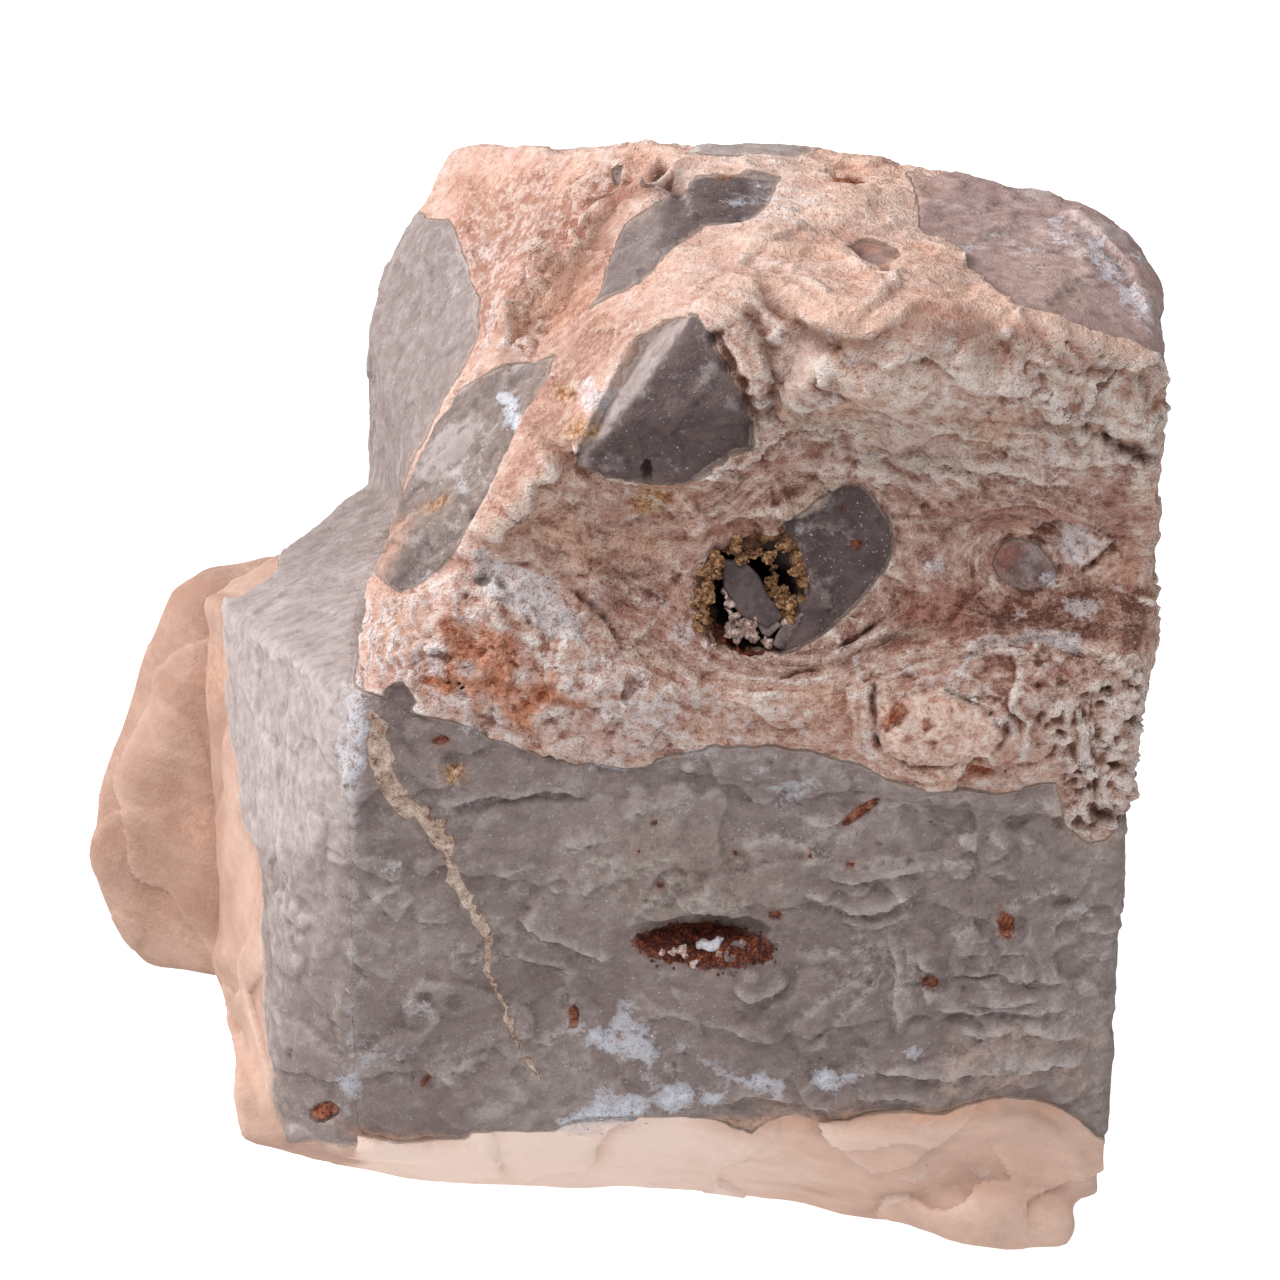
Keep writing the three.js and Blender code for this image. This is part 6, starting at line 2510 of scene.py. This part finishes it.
@dataclass
class CrumbWall:
    """A crumbly crust: a chain of lumps melted together."""

    name: str
    lumps: tuple[tuple[float, float, float, float], ...]
    voxel: float = 0.05
    rough: float = 0.16

    def build(
        self, ground: Ground, rim: Array, noise: RockNoise, material: bpy.types.Material
    ) -> bpy.types.Object:
        """Makes the crust from lumps of across, up, sunk and radius.

        Args:
            ground: Finds the stone's surface.
            rim: The plane over the hollow's rim.
            noise: Roughens the faces.
            material: The finish.

        Returns:
            The finished piece.
        """
        work = bmesh.new()
        draws = np.random.default_rng(len(self.lumps))
        for across, up, sunk, radius in self.lumps:
            level = rim @ (1, across, up) + sunk
            place = ground.lift(across, up, level) / MM
            for share in (0.85, 0.55, 0.6, 0.45):
                made = bmesh.ops.create_icosphere(work, subdivisions=2, radius=radius * share)
                aside = Vector(draws.normal(0, 1, 3)).normalized() * radius * (1 - share) * 1.7
                bmesh.ops.translate(work, verts=made["verts"], vec=place + aside)
        piece = finished(self.name, work, material)
        return roughened(piece, self.voxel, self.rough, 0.4, noise)


VUG_SHARD = Slab(
    "vug_shard",
    (
        (4.35, 26.95), (5.3, 26.95), (5.85, 26.3), (6.2, 25.6), (6.75, 24.75), (6.2, 24.3),
        (5.1, 24.85), (4.5, 25.9)),
    sunk=0.3, deep=2.6, lean=(-0.05, 0.16), rough=0.04)
VUG_LIP = Slab(
    "vug_lip", ((5.7, 24.55), (6.5, 24.7), (6.7, 24.45), (6.25, 24.0), (5.95, 24.1)), sunk=0.15,
    deep=2.0, lean=(-0.2, 0.25))
VUG_MOUND = Slab(
    "vug_mound",
    ((7.5, 26.0), (8.0, 26.15), (8.5, 25.8), (8.75, 25.2), (8.75, 24.8), (8.2, 24.6), (7.7, 24.3),
     (7.3, 23.8), (6.8, 23.5), (6.4, 23.7), (6.5, 24.2), (7.2, 24.7), (7.6, 25.1), (7.7, 25.5)),
    sunk=0.1,
    deep=1.8,
    lean=(0.05, 0.1),
    rough=0.12,
)
VUG_CRUST = CrumbWall(
    "vug_crust",
    ((3.5, 24.3, 0.15, 0.22), (3.6, 24.7, 0.1, 0.3), (3.6, 25.2, 0.2, 0.2),
     (3.72, 25.6, 0.1, 0.26), (3.9, 26.05, 0.1, 0.22), (4.0, 26.45, 0.2, 0.34),
     (4.2, 26.95, 0.25, 0.24), (4.9, 27.15, 0.5, 0.2), (5.1, 27.55, 0.35, 0.24),
     (5.3, 27.2, 0.45, 0.22), (5.75, 27.15, 0.45, 0.22), (6.1, 27.05, 0.4, 0.2),
     (6.45, 27.5, 0.3, 0.34), (6.95, 27.55, 0.2, 0.3), (7.25, 27.15, 0.25, 0.22),
     (7.35, 26.75, 0.25, 0.3), (7.5, 26.3, 0.3, 0.22), (6.1, 28.05, 0.15, 0.22),
     (6.6, 28.1, 0.15, 0.26), (6.3, 26.65, 1.0, 0.16), (6.45, 26.3, 1.0, 0.2),
     (6.2, 26.0, 0.9, 0.2), (6.5, 25.65, 0.8, 0.32), (6.85, 25.35, 0.7, 0.3),
     (7.15, 25.15, 0.6, 0.36), (7.5, 25.2, 0.45, 0.24), (6.75, 24.9, 0.65, 0.26),
     (7.2, 24.75, 0.5, 0.26)),
    rough=0.3,
)
VUG_SCALE = CrumbWall(
    "vug_scale",
    ((4.6, 25.6, 0.5, 0.16), (4.65, 25.2, 0.5, 0.2), (4.9, 24.85, 0.5, 0.22),
     (5.15, 24.6, 0.45, 0.28), (5.55, 24.45, 0.4, 0.24), (4.85, 24.4, 0.65, 0.2),
     (5.0, 24.1, 0.55, 0.24), (5.4, 24.05, 0.45, 0.22), (5.75, 24.05, 0.4, 0.26),
     (6.1, 23.8, 0.35, 0.2), (6.85, 24.35, 0.5, 0.22), (3.75, 23.8, 0.3, 0.22),
     (4.1, 23.65, 0.25, 0.2)),
    rough=0.3,
)
VUG_FLOOR = CrumbWall(
    "vug_floor",
    ((4.2, 24.3, 1.6, 0.5), (4.5, 23.9, 1.2, 0.4), (3.9, 23.95, 1.3, 0.4), (5.0, 23.45, 0.5, 0.26),
     (5.5, 23.35, 0.4, 0.26), (5.9, 23.4, 0.35, 0.2), (6.05, 27.5, 0.75, 0.26),
     (6.65, 27.9, 0.3, 0.2)),
)
LENS_CRYSTAL = CrumbWall(
    "lens_crystal", ((3.75, 12.3, 0.35, 0.26), (4.05, 12.25, 0.3, 0.3), (4.35, 12.3, 0.35, 0.22)),
    voxel=0.05, rough=0.08)
LENS_SCALE = CrumbWall(
    "lens_scale",
    ((2.2, 12.0, 0.2, 0.16), (2.6, 11.95, 0.15, 0.16), (2.95, 12.05, 0.12, 0.2),
     (3.1, 11.8, 0.1, 0.16), (3.4, 11.55, 0.05, 0.18), (4.35, 11.85, 0.1, 0.16),
     (4.35, 11.6, 0.05, 0.14), (5.2, 12.35, 0.2, 0.12)),
    voxel=0.05,
    rough=0.1,
)
LENS_MOUND = Slab(
    "lens_mound",
    (
        (4.5, 11.6), (4.6, 12.1), (4.9, 12.4), (5.4, 12.4), (5.9, 12.05), (6.1, 11.6), (5.9, 11.1),
        (5.2, 10.9), (4.7, 11.1)),
    sunk=-0.12, deep=1.2, lean=(0.0, 0.18), rough=0.08)


def scatter_group() -> bpy.types.NodeTree:
    """Geometry nodes that strew small grains over a surface.

    Returns:
        The node group.
    """
    tree = bpy.data.node_groups.new("grain_scatter", "GeometryNodeTree")
    face = tree.interface
    face.new_socket("Geometry", in_out="INPUT", socket_type="NodeSocketGeometry")
    for name, kind in (
        ("Mask", "NodeSocketString"),
        ("Density", "NodeSocketFloat"),
        ("Smallest", "NodeSocketFloat"),
        ("Largest", "NodeSocketFloat"),
        ("Thickness", "NodeSocketFloat"),
        ("Seed", "NodeSocketInt"),
        ("Finish", "NodeSocketMaterial"),
    ):
        face.new_socket(name, in_out="INPUT", socket_type=kind)
    face.new_socket("Geometry", in_out="OUTPUT", socket_type="NodeSocketGeometry")
    nodes, link = tree.nodes, tree.links.new
    given = nodes.new("NodeGroupInput").outputs
    put = nodes.new("NodeGroupOutput").inputs
    mask = nodes.new("GeometryNodeInputNamedAttribute")
    mask.data_type = "FLOAT"
    link(given["Mask"], mask.inputs["Name"])
    dense = nodes.new("ShaderNodeMath")
    dense.operation = "MULTIPLY"
    link(mask.outputs["Attribute"], dense.inputs[0])
    link(given["Density"], dense.inputs[1])
    strew = nodes.new("GeometryNodeDistributePointsOnFaces")
    link(given["Geometry"], strew.inputs["Mesh"])
    link(dense.outputs[0], strew.inputs["Density"])
    link(given["Seed"], strew.inputs["Seed"])
    grain = nodes.new("GeometryNodeMeshIcoSphere")
    grain.inputs["Radius"].default_value = 1.0
    grain.inputs["Subdivisions"].default_value = 1
    size = nodes.new("FunctionNodeRandomValue")
    size.data_type = "FLOAT"
    link(given["Smallest"], size.inputs[2])
    link(given["Largest"], size.inputs[3])
    link(given["Seed"], size.inputs["Seed"])
    shape = nodes.new("FunctionNodeRandomValue")
    shape.data_type = "FLOAT_VECTOR"
    shape.inputs[0].default_value = (0.6, 0.6, 0.5)
    shape.inputs[1].default_value = (1.5, 1.1, 1.0)
    link(given["Seed"], shape.inputs["Seed"])
    flat = nodes.new("ShaderNodeCombineXYZ")
    flat.inputs[0].default_value = 1.0
    flat.inputs[1].default_value = 1.0
    link(given["Thickness"], flat.inputs[2])
    shaped = nodes.new("ShaderNodeVectorMath")
    shaped.operation = "MULTIPLY"
    link(shape.outputs[0], shaped.inputs[0])
    link(flat.outputs[0], shaped.inputs[1])
    scaled = nodes.new("ShaderNodeVectorMath")
    scaled.operation = "SCALE"
    link(shaped.outputs[0], scaled.inputs[0])
    link(size.outputs[1], scaled.inputs["Scale"])
    place = nodes.new("GeometryNodeInstanceOnPoints")
    link(strew.outputs["Points"], place.inputs["Points"])
    link(grain.outputs["Mesh"], place.inputs["Instance"])
    link(strew.outputs["Rotation"], place.inputs["Rotation"])
    link(scaled.outputs[0], place.inputs["Scale"])
    spin = nodes.new("FunctionNodeRandomValue")
    spin.data_type = "FLOAT_VECTOR"
    spin.inputs[0].default_value = (-0.4, -0.4, -0.5)
    spin.inputs[1].default_value = (0.4, 0.4, 0.5)
    link(given["Seed"], spin.inputs["Seed"])
    turn = nodes.new("GeometryNodeRotateInstances")
    link(place.outputs["Instances"], turn.inputs["Instances"])
    link(spin.outputs[0], turn.inputs["Rotation"])
    real = nodes.new("GeometryNodeRealizeInstances")
    link(turn.outputs["Instances"], real.inputs["Geometry"])
    finish = nodes.new("GeometryNodeSetMaterial")
    link(real.outputs["Geometry"], finish.inputs["Geometry"])
    link(given["Finish"], finish.inputs["Material"])
    link(finish.outputs["Geometry"], put["Geometry"])
    return tree


@dataclass(frozen=True)
class Grains:
    """Loose grains strewn where a mask of the host mesh says."""

    name: str
    mask: str
    per_square_mm: float
    smallest: float
    largest: float
    thickness: float
    seed: int

    def build(
        self, tree: bpy.types.NodeTree, host: bpy.types.Object, material: bpy.types.Material
    ) -> bpy.types.Object:
        """Strews the grains over a copy of the host's mesh.

        Args:
            tree: The scatter nodes.
            host: The object they lie on.
            material: Their finish.

        Returns:
            The finished piece.
        """
        piece = bpy.data.objects.new(self.name, host.data)
        bpy.context.scene.collection.objects.link(piece)
        strew = piece.modifiers.new("strew", "NODES")
        strew.node_group = tree
        values = {
            "Mask": self.mask, "Density": self.per_square_mm / MM**2,
            "Smallest": self.smallest * MM, "Largest": self.largest * MM,
            "Thickness": self.thickness, "Seed": self.seed, "Finish": material}
        for item in tree.interface.items_tree:
            if item.in_out == "INPUT" and item.name in values:
                strew[item.identifier] = values[item.name]
        depsgraph = bpy.context.evaluated_depsgraph_get()
        mesh = bpy.data.meshes.new_from_object(piece.evaluated_get(depsgraph))
        piece.modifiers.clear()
        piece.data = mesh
        for layer in [layer for layer in mesh.attributes if layer.name == self.mask]:
            mesh.attributes.remove(layer)
        return piece


@dataclass
class Trimmings:
    """Everything that sits on or in the stone's body as a piece of its own."""

    ground: Ground
    noise: RockNoise
    grain: bpy.types.NodeTree

    def finish(self, name: str, *tones: Colour, **kept: float) -> bpy.types.Material:
        """A crumbly finish of three shades."""
        return CrumbFinish(self.grain, name, *tones, **kept).build()

    def build(self) -> None:
        """Makes all the pieces and fixes them to the stone."""
        dark = self.finish(
            "dark_rock", (66, 50, 50), (80, 64, 64), (96, 79, 78), coarseness=2.0, rough=0.55)
        grey = self.finish(
            "grey_rock", (92, 76, 74), (112, 96, 93), (136, 121, 117), coarseness=1.2,
            rough=0.65)
        gold = self.finish(
            "gold_crust", (70, 36, 18), (142, 97, 60), (206, 168, 126), coarseness=0.4,
            rough=0.6)
        scale = self.finish(
            "pale_scale", (132, 98, 84), (190, 160, 148), (226, 214, 214), coarseness=0.5)
        red = self.finish("red_crust", (44, 14, 8), (92, 34, 18), (150, 74, 40), coarseness=0.4)
        white = self.finish(
            "white_crystal", (196, 190, 198), (220, 216, 224), (240, 238, 244), coarseness=0.6,
            rough=0.45)
        speck = self.finish(
            "calcite_speck", (160, 150, 148), (188, 180, 178), (214, 208, 208), coarseness=0.3)
        rim = self.ground.rim(VUG_MOUTH.outline)
        crust = None
        for part, material in (
            (VUG_SHARD, dark),
            (VUG_LIP, grey),
            (VUG_MOUND, grey),
            (VUG_CRUST, gold),
            (VUG_SCALE, scale),
            (VUG_FLOOR, red),
        ):
            piece = claim(part.build(self.ground, rim, self.noise, material))
            crust = piece if part is VUG_CRUST else crust
        rim = self.ground.rim(LENS_VUG.outline)
        for part, material in (
            (LENS_CRYSTAL, white),
            (LENS_SCALE, scale),
            (LENS_MOUND, grey),
        ):
            claim(part.build(self.ground, rim, self.noise, material))
        tree = scatter_group()
        everywhere = crust.data.attributes.new("everywhere", "FLOAT", "POINT")
        everywhere.data.foreach_set("value", np.ones(len(crust.data.vertices), np.float32))
        stone = self.ground.body
        for grains, host, material in (
            (Grains("crust_grains", "everywhere", 60.0, 0.03, 0.09, 1.0, 3), crust, gold),
            (Grains("calcite_specks", "specks", 4.0, 0.008, 0.04, 0.3, 5), stone, speck),
            (Grains("lens_grains", "lens", 60.0, 0.03, 0.09, 1.0, 7), stone, red),
            (Grains("powder_grains", "powder", 14.0, 0.02, 0.07, 0.7, 11), stone, scale),
        ):
            claim(grains.build(tree, host, material))
        crust.data.attributes.remove(crust.data.attributes["everywhere"])


# The studio


@dataclass
class Studio:
    """Pale floor, soft light and the camera."""

    low: Vector
    high: Vector
    sensor: float = 36.0
    lens: float = 225.0
    distance: float = 0.300
    sky: float = 0.27
    floor_glow: float = 0.55
    floor_seen: float = 0.45

    def camera(self) -> None:
        """Sets the camera up and makes it the scene's."""
        size = self.high - self.low
        middle = (self.low + self.high) / 2
        target = Vector((
            middle.x + 0.032 * size.x, self.low.y + 0.006 * size.y, self.low.z + 0.674 * size.z))
        lean = math.radians(26)
        away = Vector((0, -math.cos(lean), math.sin(lean)))
        data = bpy.data.cameras.new("camera")
        data.lens = self.lens
        data.sensor_width = self.sensor
        data.clip_start = 0.01
        data.clip_end = 20
        camera = bpy.data.objects.new("camera", data)
        camera.location = target + away * self.distance
        camera.rotation_euler = (math.pi / 2 - lean, 0, 0)
        bpy.context.scene.collection.objects.link(camera)
        bpy.context.scene.camera = camera

    def floor(self) -> bpy.types.Object:
        """A wide pale floor under the stone.

        Returns:
            The floor.
        """
        half = 3.0
        mesh = bpy.data.meshes.new("floor")
        corners = [(-half, -half, 0), (half, -half, 0), (half, half, 0), (-half, half, 0)]
        mesh.from_pydata(corners, [], [(0, 1, 2, 3)])
        floor = bpy.data.objects.new("floor", mesh)
        bpy.context.scene.collection.objects.link(floor)
        material = bpy.data.materials.new("pale_floor")
        material.use_nodes = True
        graph = Graph(material.node_tree)
        shader = graph.nodes["Principled BSDF"]
        shader.inputs["Base Color"].default_value = (0.4, 0.4, 0.4, 1)
        shader.inputs["Roughness"].default_value = 0.9
        shader.inputs["Emission Color"].default_value = (1, 1, 1, 1)
        seen = graph.nodes.new("ShaderNodeLightPath").outputs["Is Camera Ray"]
        glow = graph.scaled(seen, self.floor_seen, self.floor_glow)
        graph.feed(shader.inputs["Emission Strength"], glow)
        mesh.materials.append(material)
        return floor

    def light(self, name: str, place: Vector, size: float, power: float) -> None:
        """A square soft light aimed at the stone.

        Args:
            name: The light's name.
            place: Where it is, in metres from the stone's middle.
            size: Its width in metres.
            power: Its power in watts.
        """
        data = bpy.data.lights.new(name, "AREA")
        data.shape = "SQUARE"
        data.size = size
        data.energy = power
        lamp = bpy.data.objects.new(name, data)
        middle = (self.low + self.high) / 2
        lamp.location = middle + place
        lamp.rotation_euler = (-place).to_track_quat("-Z", "Y").to_euler()
        bpy.context.scene.collection.objects.link(lamp)

    def build(self) -> None:
        """Makes the whole studio."""
        scene = bpy.context.scene
        scene.view_settings.view_transform = "Standard"
        world = bpy.data.worlds.new("studio")
        world.use_nodes = True
        world.node_tree.nodes["Background"].inputs["Color"].default_value = (1, 1, 1, 1)
        world.node_tree.nodes["Background"].inputs["Strength"].default_value = self.sky
        scene.world = world
        self.camera()
        self.floor()
        self.light("window", Vector((-0.46, 0.12, 0.30)), 0.45, 3.6)
        self.light("overhead", Vector((-0.08, -0.24, 0.46)), 0.40, 1.75)


def main() -> None:
    """Builds the stone and the studio."""
    logging.basicConfig(level=logging.INFO, format="%(name)s: %(message)s")
    low, high = (Vector(corner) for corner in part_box(NODE))
    Studio(low, high).build()
    noise = RockNoise(SEED)
    rock_map = RockMap(LeaningPlane(low, high), noise)
    body = StoneBody(Relief(noise), rock_map).build()
    grain, streaks = grain_group(), streak_group()
    body.data.materials.append(StoneFinish(grain, streaks).build())
    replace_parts(claim(body), NODE)
    Trimmings(Ground(rock_map.plane, body), noise, grain).build()


if __name__ == "__main__":
    main()
